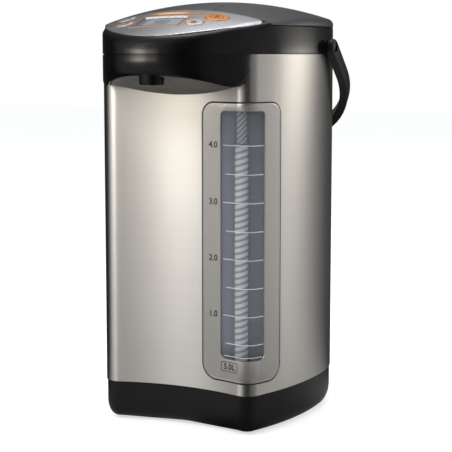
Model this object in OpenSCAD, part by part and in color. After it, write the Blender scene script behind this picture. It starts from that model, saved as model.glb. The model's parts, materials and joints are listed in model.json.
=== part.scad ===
// Electric thermo pot: a vacuum vessel in a brushed steel shell, with a pump in
// the base, a level window round the front corner, a spout head with a control
// panel, a hinged lid and a carrying bail.
// Plan drawings have the vessel's axis at x = 0, y = 0 and the floor at z = 0.
// The front is -Y. in_place() then moves the whole pot so that the origin is
// under the middle of its box.

/* [Body] */
// Width of the steel shell
body_w = 202; // [190:1:214]
// Vessel axis to the middle of the shell's front face
front_depth = 105; // [102:1:110]
// Radius of the hollow front face in plan
front_hollow_r = 196; // [170:1:240]
// Radius of the two front corners in plan
corner_r = 14.5; // [12:0.5:17]
// Radius of the side faces in plan
side_r = 250; // [235:1:270]
// Thickness of the steel shell
shell_wall = 0.8; // [0.6:0.1:1.2]
// Height of the black base
base_h = 37; // [33:1:42]
// Height of the top edge of the steel shell
shell_top = 340; // [325:1:360]
// Height of the collar above the steel shell
collar_h = 25; // [22:1:28]
// Wall thickness of the plastic mouldings
skin_wall = 2.5; // [2:0.1:3]
// Height of the lid's crown above the steel shell
crown_rise = 49.3; // [47:0.1:52]
// Radius of the lid's crown from side to side
crown_side_r = 301; // [290:1:330]
// Radius of the lid's crown from front to back
crown_length_r = 402; // [390:1:450]

/* [Base] */
// Rise of the base's bottom edge over its rounding
base_round_h = 15; // [12:1:18]
// Inward run of the base's bottom rounding
base_round_w = 9; // [6:1:10]
// Radius of a rubber foot
foot_r = 9; // [7:0.5:11]
// Height from the floor to the bottom plate
foot_h = 4.5; // [4:0.5:6]
// Width of the power inlet
inlet_w = 34; // [28:1:38]
// Direction of the power inlet, turned from +X towards the back
inlet_angle = 48; // [42:1:54]

/* [Vessel] */
// Inner radius of the vessel, which sets its capacity
vessel_r = 79.5; // [76:0.5:80.5]
// Height of the vessel's floor
vessel_floor_z = 59.7; // [58:0.1:61]
// Thickness of each vessel wall
vessel_wall = 0.8; // [0.6:0.1:1]
// Width of the vacuum gap between the two walls
vacuum_gap = 4.4; // [3:0.1:4.6]
// Inner radius of the vessel's neck
neck_r = 68; // [64:0.5:69]

/* [Window] */
// Left end of the window frame on the front face
window_x = 23.6; // [18:0.2:30]
// Rear end of the window frame on the side face
window_y = -81.5; // [-86:0.5:-76]
// Bottom of the window frame
window_z0 = 53.6; // [50:0.2:60]
// Top of the window frame
window_z1 = 298; // [285:1:302]
// Width of the frame left of the glass
frame_left = 18.6; // [14:0.2:22]
// Width of the frame behind the glass, along the side
frame_right = 17.9; // [14:0.2:20]
// Height of the frame under the glass
frame_bottom = 21.4; // [16:0.2:24]
// Height of the frame over the glass
frame_top = 7.4; // [6:0.2:10]
// Outer radius of the level tube
tube_r = 6.5; // [5.5:0.1:6.8]
// Litres in the pot
water_litres = 4; // [1:0.5:5]

/* [Spout head] */
// Reach of the spout head in front of the shell's front face
beak_reach = 68; // [64:1:72]
// Height of the beak's underside where it meets the front face
beak_root_z = 305; // [300:1:310]
// Slope of the beak's underside in degrees
beak_slope = 14.8; // [12:0.2:16]
// Outer radius of the nozzle
nozzle_r = 11.1; // [9:0.1:11.2]
// Bore of the nozzle
nozzle_bore_r = 4; // [3:0.1:4.5]
// Height of the nozzle's tip
nozzle_tip_z = 313.8; // [310:0.2:316]

/* [Panel and keys] */
// Radius of the control panel's front edge in plan
panel_r = 84; // [80:0.5:86]
// Black border in front of the control panel
panel_border = 8.5; // [7:0.5:10]
// Thickness of the control panel
panel_t = 1.8; // [1.2:0.1:2]
// Rear edge of the control panel, in front of the vessel axis
panel_back = 92.5; // [90:0.5:96]
// Travel of a key
key_travel = 1; // [0.6:0.1:1.2]
// Gap round a key
key_gap = 0.35; // [0.25:0.05:0.5]

/* [Lid] */
// Gap round the lid
lid_gap = 0.4; // [0.3:0.1:0.6]
// Radius of the hinge barrel
hinge_r = 5; // [4.5:0.1:5.5]
// Radius of the hinge pin
hinge_pin_r = 2; // [1.5:0.1:2.5]
// Half width of the lid's hinge knuckle
knuckle_half = 29.5; // [24:0.5:32]

/* [Bail] */
// Thickness of the bail
bail_t = 8; // [7:0.5:9]
// Width of the bail's strap
bail_w = 14.5; // [12:0.5:16]
// Gap between the bail and the body's sides
bail_gap = 1; // [0.8:0.1:1.5]
// Straight length of each arm from its pivot
bail_straight = 37.5; // [34:0.5:42]
// Height of the bail's pivot above the steel shell
bail_pivot_rise = 7; // [7:0.5:9]
// Radius of the bail's pivot pin
bail_pin_r = 3.5; // [3:0.1:4]
// Running clearance between a pin and its hole
pin_gap = 0.05; // [0.02:0.01:0.09]

/* [Pump] */
// Radius of the pump housing
pump_r = 20; // [18:0.5:21]
// Radius of the motor case
motor_r = 15; // [13:0.5:16]
// Radius of the silicone hoses
hose_r = 5.5; // [5:0.1:6]

/* [Hidden] */
big = 500;
seat = 0.3;
fit_gap = 0.1;
body_r = body_w / 2;
rim_z = shell_top + collar_h;
crown_z = shell_top + crown_rise;
crown_y = -3.8;
function crown_drop(y) = crown_length_r - sqrt(crown_length_r * crown_length_r - pow(y - crown_y, 2));
// Height of the crown over the middle line
function crown_at(y) = crown_z - crown_drop(y);
side_cx = side_r - body_r;

// Plan outline -----------------------------------------------------------------
arc_steps = 12;
rear_steps = 36;
function arc(c, r, a0, a1, n) =
    [for (i = [0:n]) c + r * [cos(a0 + (a1 - a0) * i / n), sin(a0 + (a1 - a0) * i / n)]];
function mirrored(p) = [for (i = [len(p) - 1:-1:0]) [-p[i][0], p[i][1]]];
// The corner's centre lies front_hollow_r + corner_r from the hollow's centre
// and side_r - corner_r from the side's centre.
hollow_c = [0, -front_depth - front_hollow_r];
side_c = [-side_cx, 0];
reach_h = front_hollow_r + corner_r;
reach_s = side_r - corner_r;
centre_gap = norm(side_c - hollow_c);
along = (reach_h * reach_h - reach_s * reach_s + centre_gap * centre_gap) / (2 * centre_gap);
across = sqrt(reach_h * reach_h - along * along);
gap_dir = (side_c - hollow_c) / centre_gap;
corner_c = hollow_c + along * gap_dir + across * [gap_dir[1], -gap_dir[0]];
hollow_a = atan2(corner_c[1] - hollow_c[1], corner_c[0]);
side_a = atan2(corner_c[1], corner_c[0] + side_cx);
// Right half of the shell's outline, from the front to the back
function shell_half(inset) = concat(
    arc(hollow_c, front_hollow_r + inset, 90, hollow_a, arc_steps),
    arc(corner_c, corner_r - inset, hollow_a - 180, side_a, arc_steps),
    arc(side_c, side_r - inset, side_a, 0, arc_steps),
    arc([0, 0], body_r - inset, 0, 90, rear_steps / 2));
function shell_plan(inset) = concat(shell_half(inset), mirrored(shell_half(inset)));
// The head follows the same sides and back, and runs on into a round nose
nose_y = front_depth + beak_reach;
nose_r = (side_r * side_r - side_cx * side_cx - nose_y * nose_y) / (2 * (side_r - nose_y));
nose_c = [0, nose_r - nose_y];
nose_a = atan2(nose_c[1], side_cx);
function head_half(inset) = concat(
    arc(nose_c, nose_r - inset, -90, nose_a, arc_steps),
    arc(side_c, side_r - inset, nose_a, 0, arc_steps),
    arc([0, 0], body_r - inset, 0, 90, rear_steps / 2));
function head_plan(inset) = concat(head_half(inset), mirrored(head_half(inset)));

// Bail geometry ----------------------------------------------------------------
bail_x = body_r + bail_gap + bail_t / 2;
bail_pivot_z = shell_top + bail_pivot_rise;
bail_end = bail_straight + bail_x;
// The bail hangs with the inside of its cross bar resting on the body's back
bail_inner = [bail_end - bail_t / 2, bail_w / 2];
bail_drop = acos((body_r + seat) / norm(bail_inner)) - atan2(bail_inner[1], bail_inner[0]);
bail_back = (bail_end + bail_t / 2) * cos(bail_drop) + bail_w / 2 * sin(bail_drop);
origin_y = (nose_y - bail_back) / 2;

// Places and shared sizes ------------------------------------------------------
vessel_out_r = vessel_r + 2 * vessel_wall + vacuum_gap;
vessel_bottom_z = vessel_floor_z - vessel_wall;
level_per_litre = 1000000 / (PI * vessel_r * vessel_r);
plate_z = foot_h;
plate_t = 2.5;
floor_z = plate_z + plate_t;
base_inset = shell_wall;
base_floor_inset = base_inset + base_round_w + 2;
base_skin = base_inset + skin_wall;
base_low_inset = base_skin + 4;
base_step_z = 2 + base_round_h;
lip_h = 4;
pump_c = [20, -45];
motor_z = floor_z;
motor_h = 15.5;
pump_z = motor_z + motor_h;
pump_h = 17;
pump_floor = 1.5;
pump_out_z = pump_z + pump_h / 2;
drain_r = 4;
// The level tube stands behind the glass, inside the front right corner
tube_c = corner_c + [-5.6, 0.5];
tube_z0 = window_z0 + 8;
tube_z1 = window_z1 + 4;
seal_w = 1;
back_t = 2;
back_gap = 0.4;
back_angle = atan2(corner_c[1], corner_c[0]);
back_d = tube_c * [cos(back_angle), sin(back_angle)] - tube_r - seal_w - back_gap - back_t;
nozzle_c = [0, -front_depth - beak_reach + skin_wall + nozzle_r + 0.3];
deck_t = 3;
deck_z = shell_top + deck_t;
gasket_t = 1;
flange_t = vessel_wall;
mouth_z0 = deck_z + gasket_t + flange_t;
mouth_h = 7;
mouth_z1 = mouth_z0 + mouth_h;
mouth_r = neck_r + 1;
mouth_out_r = neck_r + 14;
flange_r = neck_r + 8;
hinge_y = body_r + hinge_r + 0.4;
hinge_z = rim_z + 1;
ear_w = 8;
lid_front = panel_back - lid_gap;
panel_c = [0, -nose_y + panel_border + panel_r];
board_tilt = 15;
board_y = -nose_y + 49;
board_under = 15.7;
board_c = [0, board_y, crown_at(board_y) - board_under];
board_t = 1.6;
key_t = 2.2;
key_proud = 0.5;
key_out = body_r - 51;
key_dispense_c = panel_c + [key_out - 11, -29.5];
key_unlock_c = panel_c + [27, -50];
key_timer_c = panel_c + [-42, -48.5];
key_heat_c = panel_c + [-key_out, -28.5];
lens_c = panel_c + [-7, -47.5];
lens_size = [45, 25];
lever_half = 24;
lever_y0 = -88;
lever_y1 = -62;
lever_depth = 5;
lever_axis = [lever_y1 - 0.6, crown_at(lever_y1 - 0.6) - lever_depth];
lever_gap = 0.8;
lever_back_gap = 1.5;
lug_x0 = lever_half + lever_gap;
lug_x1 = lug_x0 + 3.2;

module in_place() { translate([0, origin_y, 0]) children(); }
module prism(points, z0, z1) { translate([0, 0, z0]) linear_extrude(z1 - z0) polygon(points); }
module ring(r_out, r_in, z0, z1) {
    translate([0, 0, z0]) difference() {
        cylinder(r = r_out, h = z1 - z0, $fn = 96);
        translate([0, 0, -1]) cylinder(r = r_in, h = z1 - z0 + 2, $fn = 96);
    }
}
module disc(r, z0, z1) { translate([0, 0, z0]) cylinder(r = r, h = z1 - z0, $fn = 96); }
module slab(x0, x1, y0, y1, z0, z1) { translate([x0, y0, z0]) cube([x1 - x0, y1 - y0, z1 - z0]); }
module x_rod(r, x0, x1, y, z) {
    translate([x0, y, z]) rotate([0, 90, 0]) cylinder(r = r, h = x1 - x0, $fn = 64);
}
// A pipe through the points, with a ball at each bend
module pipe(points, r) {
    for (i = [0:len(points) - 2]) {
        run = points[i + 1] - points[i];
        translate(points[i]) rotate([0, acos(run[2] / norm(run)), atan2(run[1], run[0])])
            cylinder(r = r, h = norm(run), $fn = 48);
    }
    for (i = [1:len(points) - 2]) translate(points[i]) sphere(r = r, $fn = 48);
}

// Crown ------------------------------------------------------------------------
// A barrel whose long axis runs front to back; the crown is its top
crown_y0 = -nose_y - 6;
crown_y1 = body_r + 14;
crown_steps = 14;
function crown_profile(inset) = concat([[0, crown_y0], [0, crown_y1]],
    [for (i = [crown_steps:-1:0]) let (y = crown_y0 + (crown_y1 - crown_y0) * i / crown_steps)
        [crown_side_r - crown_drop(y) - inset, y]]);
module crown_body(inset) {
    translate([0, 0, crown_z - crown_side_r]) rotate([90, 0, 0]) mirror([0, 0, 1])
        rotate_extrude($fn = 240) polygon(crown_profile(inset));
}
// What lies between two insets of the crown, inside a prism
module crown_layer(top_inset, bottom_inset) {
    intersection() {
        difference() { crown_body(top_inset); crown_body(bottom_inset); }
        union() children();
    }
}
module upright(z0, z1) { translate([0, 0, z0]) linear_extrude(z1 - z0) children(); }
module oval(c, rx, ry, grow) {
    // A slot shape: two round ends joined by straight sides
    run = rx - ry;
    translate(c) union() {
        for (s = [-1, 1]) translate([s * run, 0]) circle(r = ry + grow, $fn = 48);
        square([2 * run, 2 * (ry + grow)], center = true);
    }
}

// Base -------------------------------------------------------------------------
round_steps = 5;
function base_levels() = concat(
    [for (i = [0:round_steps]) let (a = 90 * i / round_steps)
        [2 + base_round_h * (1 - cos(a)), base_inset + base_round_w * (1 - sin(a))]],
    [[base_h + lip_h, base_inset]]);
module base_block() {
    levels = base_levels();
    n = len(shell_plan(0));
    m = len(levels);
    polyhedron(
        points = [for (l = levels) for (p = shell_plan(l[1])) [p[0], p[1], l[0]]],
        faces = concat([[for (i = [0:n - 1]) i]],
            [for (k = [0:m - 2]) for (i = [0:n - 1])
                [k * n + i, (k + 1) * n + i, (k + 1) * n + (i + 1) % n, k * n + (i + 1) % n]],
            [[for (i = [n - 1:-1:0]) (m - 1) * n + i]]));
}
module inlet_block(grow, x0, x1, z0, z1) {
    rotate([0, 0, inlet_angle]) slab(x0, x1, -inlet_w / 2 - grow, inlet_w / 2 + grow, z0 - grow, z1 + grow);
}
inlet_z0 = 14;
inlet_z1 = 44;
inlet_x0 = body_r - 17;
inlet_x1 = body_r + 4;
module base_housing() {
    color("#262626") in_place() difference() {
        base_block();
        prism(shell_plan(base_low_inset), plate_z, base_step_z);
        prism(shell_plan(base_skin), base_step_z, base_h + lip_h + 1);
        prism(shell_plan(base_floor_inset), 0, base_h);
        inlet_block(0, inlet_x0 - 2, body_r + 10, inlet_z0, inlet_z1);
    }
}
leg_r = 5;
leg_orbit = vessel_out_r - 3;
leg_angles = [20, 150, 270];
screw_spots = [for (a = leg_angles) leg_orbit * [cos(a), sin(a)]];
module bottom_plate() {
    color("#303030") in_place() difference() {
        prism(shell_plan(base_low_inset), plate_z, floor_z);
        for (p = screw_spots) translate([p[0], p[1], 0]) cylinder(r = 1.6, h = 20, $fn = 32);
        for (i = [-3:3]) slab(-20, 20, i * 7 + 18, i * 7 + 21, 0, 20);
    }
}
feet_spots = [[-54, -82], [54, -82], [-50, 56], [50, 56]];
module rubber_feet() {
    color("#1a1a1a") in_place() for (p = feet_spots) translate([p[0], p[1], 0])
        union() {
            translate([0, 0, 1]) cylinder(r = foot_r, h = plate_z - 1, $fn = 48);
            cylinder(r = foot_r - 1.2, h = 1.5, $fn = 48);
        }
}
module base_screws() {
    color("silver") in_place() for (p = screw_spots) translate([p[0], p[1], 0])
        union() {
            translate([0, 0, plate_z - 1.8]) cylinder(r = 3, h = 1.8, $fn = 32);
            translate([0, 0, plate_z - 1]) cylinder(r = 1.6, h = plate_t + 7, $fn = 32);
        }
}
pocket_w = 26;
pocket_h = 14;
pocket_d = 9;
pocket_z0 = (inlet_z0 + inlet_z1 - pocket_h) / 2;
module power_inlet() {
    color("#1c1c1c") in_place() difference() {
        inlet_block(0, inlet_x0, inlet_x1, inlet_z0, inlet_z1);
        rotate([0, 0, inlet_angle])
            slab(inlet_x1 - pocket_d, inlet_x1 + 1, -pocket_w / 2, pocket_w / 2,
                pocket_z0, pocket_z0 + pocket_h);
    }
}
module inlet_pins() {
    color("goldenrod") in_place() rotate([0, 0, inlet_angle]) for (s = [-1, 1])
        translate([inlet_x1 - pocket_d, s * 7.5, pocket_z0 + pocket_h / 2]) rotate([0, 90, 0])
            cylinder(r = 1.8, h = 5, $fn = 32);
}
board_z = floor_z + 6;
power_x = [-52, 30];
power_y = [8, 60];
module power_board() {
    color("darkgreen") in_place() union() {
        slab(power_x[0], power_x[1], power_y[0], power_y[1], board_z, board_z + board_t);
        for (x = [power_x[0] + 5, power_x[1] - 5], y = [power_y[0] + 5, power_y[1] - 5])
            translate([x, y, floor_z]) cylinder(r = 3, h = 6, $fn = 32);
    }
}
module board_parts() {
    color("dimgray") in_place() {
        top = board_z + board_t;
        slab(-46, -24, 14, 32, top, top + 16);
        slab(-18, 4, 14, 34, top, top + 20);
        slab(10, 24, 16, 30, top, top + 12);
        for (x = [-40, -26, -12]) translate([x, 47, top]) cylinder(r = 5, h = 18, $fn = 32);
        slab(2, 24, 42, 54, top, top + 9);
    }
}

// Pump -------------------------------------------------------------------------
module at_pump() { translate([pump_c[0], pump_c[1], 0]) children(); }
// From the pump towards the foot of the level tube, at height z
tube_run = tube_c - pump_c;
module to_tube(z) {
    translate([pump_c[0], pump_c[1], z]) rotate([0, 0, atan2(tube_run[1], tube_run[0])]) children();
}
module flat_rod(r, x0, x1) { x_rod(r, x0, x1, 0, 0); }
// A hose that runs level from x0 to a bend under or over x1, then upright to z1
module bent_hose(x0, x1, z1, r) {
    side = z1 > 0 ? 1 : -1;
    flat_rod(r, x0, x1 - bend_r);
    translate([x1 - bend_r, 0, side * bend_r]) rotate([side * 90, 0, 0]) rotate([0, 0, -90])
        rotate_extrude(angle = 90, $fn = 96) translate([bend_r, 0]) circle(r = r, $fn = 48);
    translate([x1, 0, min(side * bend_r, z1)]) cylinder(r = r, h = abs(z1) - bend_r, $fn = 48);
}
bend_r = 12;
stub_x = 28;
hub_r = 1.95;
shaft_r = 1.5;
magnet_z0 = motor_z + 9;
magnet_h = 5;
magnet_r = 10;
module motor_case() {
    color("silver") in_place() at_pump() difference() {
        disc(motor_r, motor_z, pump_z);
        disc(magnet_r + 0.6, magnet_z0 - 0.6, pump_z + 1);
        disc(shaft_r + pin_gap, motor_z + 1, magnet_z0);
    }
}
module motor_magnet() {
    color("#555555") in_place() at_pump() union() {
        disc(magnet_r, magnet_z0, magnet_z0 + magnet_h);
        disc(shaft_r, motor_z + 1.5, magnet_z0 + 1);
    }
}
rotor_z0 = pump_z + pump_floor + 0.5;
module pump_housing() {
    color("#d8d8d0") in_place() difference() {
        union() {
            at_pump() disc(pump_r, pump_z, pump_z + pump_h - 3);
            to_tube(pump_out_z) flat_rod(4.5, 0, stub_x);
        }
        difference() {
            union() {
                at_pump() disc(pump_r - 2, pump_z + pump_floor, pump_z + pump_h);
                to_tube(pump_out_z) flat_rod(3, 0, stub_x + 1);
            }
            at_pump() disc(hub_r, pump_z, rotor_z0 + 4);
        }
    }
}
module pump_cover() {
    color("#c8c8c0") in_place() at_pump() difference() {
        union() {
            disc(pump_r, pump_z + pump_h - 3, pump_z + pump_h);
            disc(drain_r + 1, pump_z + pump_h - 1, vessel_bottom_z - 12);
        }
        disc(drain_r, pump_z + pump_h - 4, vessel_bottom_z);
    }
}
module impeller() {
    color("white") in_place() at_pump() difference() {
        union() {
            disc(pump_r - 3.5, rotor_z0, rotor_z0 + 3);
            disc(4, rotor_z0 + 2, rotor_z0 + 9);
            for (a = [0:60:300]) rotate([0, 0, a])
                slab(3, pump_r - 4.5, -0.8, 0.8, rotor_z0 + 2, rotor_z0 + 9);
        }
        disc(hub_r + pin_gap, rotor_z0 - 1, rotor_z0 + 5);
    }
}
drain_z0 = vessel_bottom_z - 8;
module inlet_hose() {
    color("#e8e4dc") in_place() at_pump() ring(drain_r + 3, drain_r + 1, pump_z + pump_h, drain_z0 + 5);
}
module outlet_hose() {
    rise = tube_z0 - pump_out_z;
    color("#e8e4dc") in_place() to_tube(pump_out_z) difference() {
        bent_hose(stub_x, norm(tube_run), rise, hose_r);
        bent_hose(stub_x - 1, norm(tube_run), rise + 1, 3);
    }
}

// Vessel -----------------------------------------------------------------------
shoulder_z = shell_top - 22;
neck_z = shell_top - 8;
module turned(points) { rotate_extrude($fn = 120) polygon(points); }
module vessel_inner() {
    r = vessel_r;
    w = vessel_wall;
    top = deck_z + gasket_t + flange_t;
    color("#c8c8c8") in_place() difference() {
        union() {
            turned([[0, vessel_bottom_z], [r + w, vessel_bottom_z], [r + w, shoulder_z], [neck_r + w, neck_z],
                [neck_r + w, top - flange_t], [flange_r, top - flange_t], [flange_r, top], [neck_r, top],
                [neck_r, neck_z], [r, shoulder_z], [r, vessel_floor_z], [0, vessel_floor_z]]);
            at_pump() disc(drain_r + 1, drain_z0, vessel_floor_z);
        }
        at_pump() disc(drain_r, drain_z0 - 1, vessel_floor_z + 1);
    }
}
module vessel_outer() {
    r = vessel_out_r;
    w = vessel_wall;
    zb = stand_z;
    color("#b8b8b8") in_place() turned([[r - vacuum_gap - w - 6, zb], [r, zb], [r, shoulder_z + 1],
        [neck_r + 3 * w + 1, neck_z + 1], [neck_r + 3 * w + 1, deck_z - 5], [neck_r + w, deck_z - 5],
        [neck_r + w, deck_z - 5 - w], [neck_r + 2 * w + 1, deck_z - 5 - w], [neck_r + 2 * w + 1, neck_z + 1],
        [r - w, shoulder_z + 1], [r - w, zb + w], [r - vacuum_gap - w - 6, zb + w]]);
}
stand_z = vessel_bottom_z - vessel_wall;
module vessel_stand() {
    color("#8a8a8a") in_place() difference() {
        union() {
            ring(vessel_out_r, vessel_out_r - 8, stand_z - 4, stand_z);
            for (p = screw_spots) translate([p[0], p[1], floor_z])
                cylinder(r = leg_r, h = stand_z - 2 - floor_z, $fn = 32);
        }
        for (p = screw_spots) translate([p[0], p[1], 0]) cylinder(r = 1.6, h = plate_z + plate_t + 9, $fn = 32);
    }
}
heater_r = 62;
module heater() {
    color("#c9b98a") in_place() difference() {
        disc(heater_r, vessel_bottom_z - 2.5, vessel_bottom_z);
        at_pump() disc(drain_r + 2, 0, big);
        disc(7, 0, vessel_bottom_z + 1);
    }
}
module heater_clamp() {
    color("#9a9a9a") in_place() difference() {
        disc(heater_r - 6, vessel_bottom_z - 4, vessel_bottom_z - 2.5);
        at_pump() disc(drain_r + 4, 0, big);
        disc(7, 0, vessel_bottom_z + 1);
    }
}
module thermistor() {
    color("#b0b0b0") in_place() union() {
        disc(5, vessel_bottom_z - 9, vessel_bottom_z);
        disc(8.5, vessel_bottom_z - 6, vessel_bottom_z - 4);
    }
}

// Shell and window -------------------------------------------------------------
// The window wraps the corner: a region bounded to the left on the front face
// and to the rear on the side face, with rounded ends
module window_zone(x0, y1, z0, z1, r_top, r_bottom) {
    intersection() {
        translate([0, -60, 0]) rotate([90, 0, 0]) linear_extrude(big)
            end_shape(x0, z0, z1, r_top, r_bottom);
        rotate([0, 0, 90]) rotate([90, 0, 0]) linear_extrude(big) mirror([1, 0])
            end_shape(-y1, z0, z1, r_top, r_bottom);
    }
}
// A half-open panel with round corners at its left end
module end_shape(x0, z0, z1, r_top, r_bottom) {
    translate([x0, z0 + r_bottom]) square([big, z1 - z0 - r_bottom - r_top]);
    translate([x0 + r_bottom, z0]) square([big, r_bottom + 1]);
    translate([x0 + r_top, z1 - r_top - 1]) square([big, r_top + 1]);
    translate([x0 + r_bottom, z0 + r_bottom]) circle(r = r_bottom, $fn = 48);
    translate([x0 + r_top, z1 - r_top]) circle(r = r_top, $fn = 48);
}
frame_r = 11;
frame_r_low = 14;
glass_r = 4;
frame_t = 2.4;
glass_t = 2;
module frame_zone(grow) {
    window_zone(window_x - grow, window_y + grow, window_z0 - grow, window_z1 + grow,
        frame_r + grow, frame_r_low + grow);
}
module glass_zone(grow) {
    window_zone(window_x + frame_left - grow, window_y - frame_right + grow,
        window_z0 + frame_bottom - grow, window_z1 - frame_top + grow, glass_r + grow, glass_r + grow);
}
hatch_half = 54;
hatch_z = beak_root_z + 8;
module steel_shell() {
    color("#c4c0b8") in_place() difference() {
        prism(shell_plan(0), base_h, shell_top);
        prism(shell_plan(shell_wall), base_h - 1, shell_top + 1);
        frame_zone(0.2);
        slab(-hatch_half, hatch_half, -big, -front_depth + 20, hatch_z, big);
        inlet_block(0, inlet_x0 - 2, body_r + 10, inlet_z0, inlet_z1);
    }
}
module window_frame() {
    color("#c9c6bf") in_place() difference() {
        intersection() {
            difference() {
                prism(shell_plan(0), window_z0 - 2, window_z1 + 2);
                prism(shell_plan(frame_t), window_z0 - 3, window_z1 + 3);
            }
            frame_zone(0);
        }
        glass_zone(0);
    }
}
module window_glass() {
    color([0.6, 0.65, 0.7, 0.35]) in_place() intersection() {
        difference() {
            prism(shell_plan(0.3), window_z0 - 2, window_z1 + 2);
            prism(shell_plan(0.3 + glass_t), window_z0 - 3, window_z1 + 3);
        }
        glass_zone(0);
    }
}
module gauge_back() {
    color("#80848c") in_place() intersection() {
        prism(shell_plan(frame_t), window_z0 + 4, window_z1 - 2);
        rotate([0, 0, back_angle]) slab(back_d, back_d + back_t, -big, big, 0, big);
    }
}
module at_tube() { translate([tube_c[0], tube_c[1], 0]) children(); }
module level_tube() {
    color([0.8, 0.85, 0.9, 0.4]) in_place() at_tube() ring(tube_r, tube_r - 1, tube_z0, tube_z1);
}
module tube_water() {
    color([0.6, 0.7, 0.8, 0.5]) in_place() at_tube()
        disc(tube_r - 1, tube_z0, vessel_floor_z + water_litres * level_per_litre);
}
seal_h = 5;
module tube_seals() {
    color("#404040") in_place() at_tube() {
        ring(tube_r + seal_w, tube_r, tube_z0, tube_z0 + seal_h);
        ring(tube_r + seal_w, tube_r, tube_z1 - seal_h, tube_z1);
    }
}

// Outlet -----------------------------------------------------------------------
valve_c = [0, nozzle_c[1] + 24];
valve_z = shell_top - 11;
valve_r = 9;
valve_run = tube_c - valve_c;
module from_valve() {
    translate([valve_c[0], valve_c[1], valve_z]) rotate([0, 0, atan2(valve_run[1], valve_run[0])]) children();
}
module top_hose() {
    drop = tube_z1 - valve_z;
    color("#e8e4dc") in_place() from_valve() difference() {
        bent_hose(0, norm(valve_run), drop, hose_r);
        bent_hose(-1, norm(valve_run), drop - 1, 3);
        translate([0, 0, -9]) cylinder(r = valve_r, h = 20, $fn = 64);
    }
}
module tip_valve() {
    color("#d0d0c8") in_place() difference() {
        union() {
            translate([valve_c[0], valve_c[1], valve_z - 8])
                cylinder(r = valve_r, h = 8 + shell_top - valve_z, $fn = 64);
            pipe([concat(valve_c, [valve_z]), concat(nozzle_c, [valve_z])], 6);
        }
        translate([valve_c[0], valve_c[1], valve_z - 5]) cylinder(r = valve_r - 2, h = 12, $fn = 64);
        pipe([concat(valve_c, [valve_z]), concat(nozzle_c, [valve_z])], nozzle_bore_r);
        translate([nozzle_c[0], nozzle_c[1], 0]) cylinder(r = nozzle_r, h = big, $fn = 64);
        from_valve() flat_rod(3, 0, valve_r + 2);
    }
}
module nozzle() {
    color("#1e1e1e") in_place() translate([nozzle_c[0], nozzle_c[1], 0]) difference() {
        disc(nozzle_r, nozzle_tip_z, valve_z + 7);
        disc(nozzle_bore_r, nozzle_tip_z - 1, valve_z + 4);
        translate([0, 0, valve_z]) rotate([-90, 0, 0]) cylinder(r = nozzle_bore_r, h = nozzle_r + 2, $fn = 48);
    }
}

// Head -------------------------------------------------------------------------
module panel_region(inset, grow) {
    intersection() {
        polygon(head_plan(inset));
        translate(panel_c) circle(r = panel_r + grow, $fn = 120);
        translate([-big, -big]) square([2 * big, big - panel_back]);
    }
}
module hinge_barrel(x0, x1) { x_rod(hinge_r, x0, x1, hinge_y, hinge_z); }
module bail_boss(s) {
    translate([s * (body_r - skin_wall), 0, bail_pivot_z]) rotate([0, s * 90, 0])
        cylinder(r = bail_pivot_rise, h = skin_wall + bail_gap - seat, $fn = 64);
}
mouth_cut_r = mouth_out_r + 2;
lip = 1.2;
module upper_body() {
    color("#2a2a2b") in_place() difference() {
        union() {
            // Side wall, up to the crown in front and to the rim behind
            intersection() {
                difference() {
                    prism(head_plan(0), shell_top, crown_z);
                    prism(head_plan(skin_wall), shell_top - 1, crown_z + 1);
                }
                crown_body(0);
            }
            // Border in front of the panel and the ledge under its edge
            crown_layer(0, skin_wall + 1.5) upright(shell_top, crown_z) difference() {
                intersection() {
                    polygon(head_plan(0.1));
                    translate([-big, -big]) square([2 * big, big - panel_back]);
                }
                translate(panel_c) circle(r = panel_r - 4, $fn = 120);
            }
            // Cross wall under the panel's rear edge
            intersection() {
                prism(head_plan(1), shell_top, crown_z);
                slab(-big, big, -panel_back - skin_wall, -panel_back, deck_z, crown_z);
                crown_body(panel_t);
            }
            for (s = [-1, 1]) bail_boss(s);
            // Hinge ears
            for (s = [-1, 1]) x_ear(s);
        }
        slab(-big, big, -panel_back, big, rim_z, rim_z + big / 10);
        // Seat of the panel
        crown_layer(-2, panel_t + 0.05) upright(shell_top, crown_z + 20) panel_region(lip, 0);
        for (s = [-1, 1]) x_rod(bail_pin_r, min(s * (body_r - 12), s * (body_r + 5)),
            max(s * (body_r - 12), s * (body_r + 5)), 0, bail_pivot_z);
        x_rod(hinge_pin_r, -knuckle_half - ear_w - 1, knuckle_half + ear_w + 1, hinge_y, hinge_z);
    }
}
// Deck that carries the vessel's mouth, with openings for the hose and wires
module deck_plate() {
    color("#343436") in_place() difference() {
        prism(head_plan(skin_wall), shell_top, deck_z);
        disc(neck_r + 4, shell_top - 1, deck_z + 1);
        slab(-30, 30, -nose_y + 24, -front_depth - 8, shell_top - 1, deck_z + 1);
    }
}
ear_gap = 0.5;
module x_ear(s) {
    x0 = s > 0 ? knuckle_half + ear_gap : -knuckle_half - ear_gap - ear_w;
    union() {
        hinge_barrel(x0, x0 + ear_w);
        slab(x0, x0 + ear_w, body_r - 12, hinge_y, rim_z - 8, rim_z - 0.2);
    }
}
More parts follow.
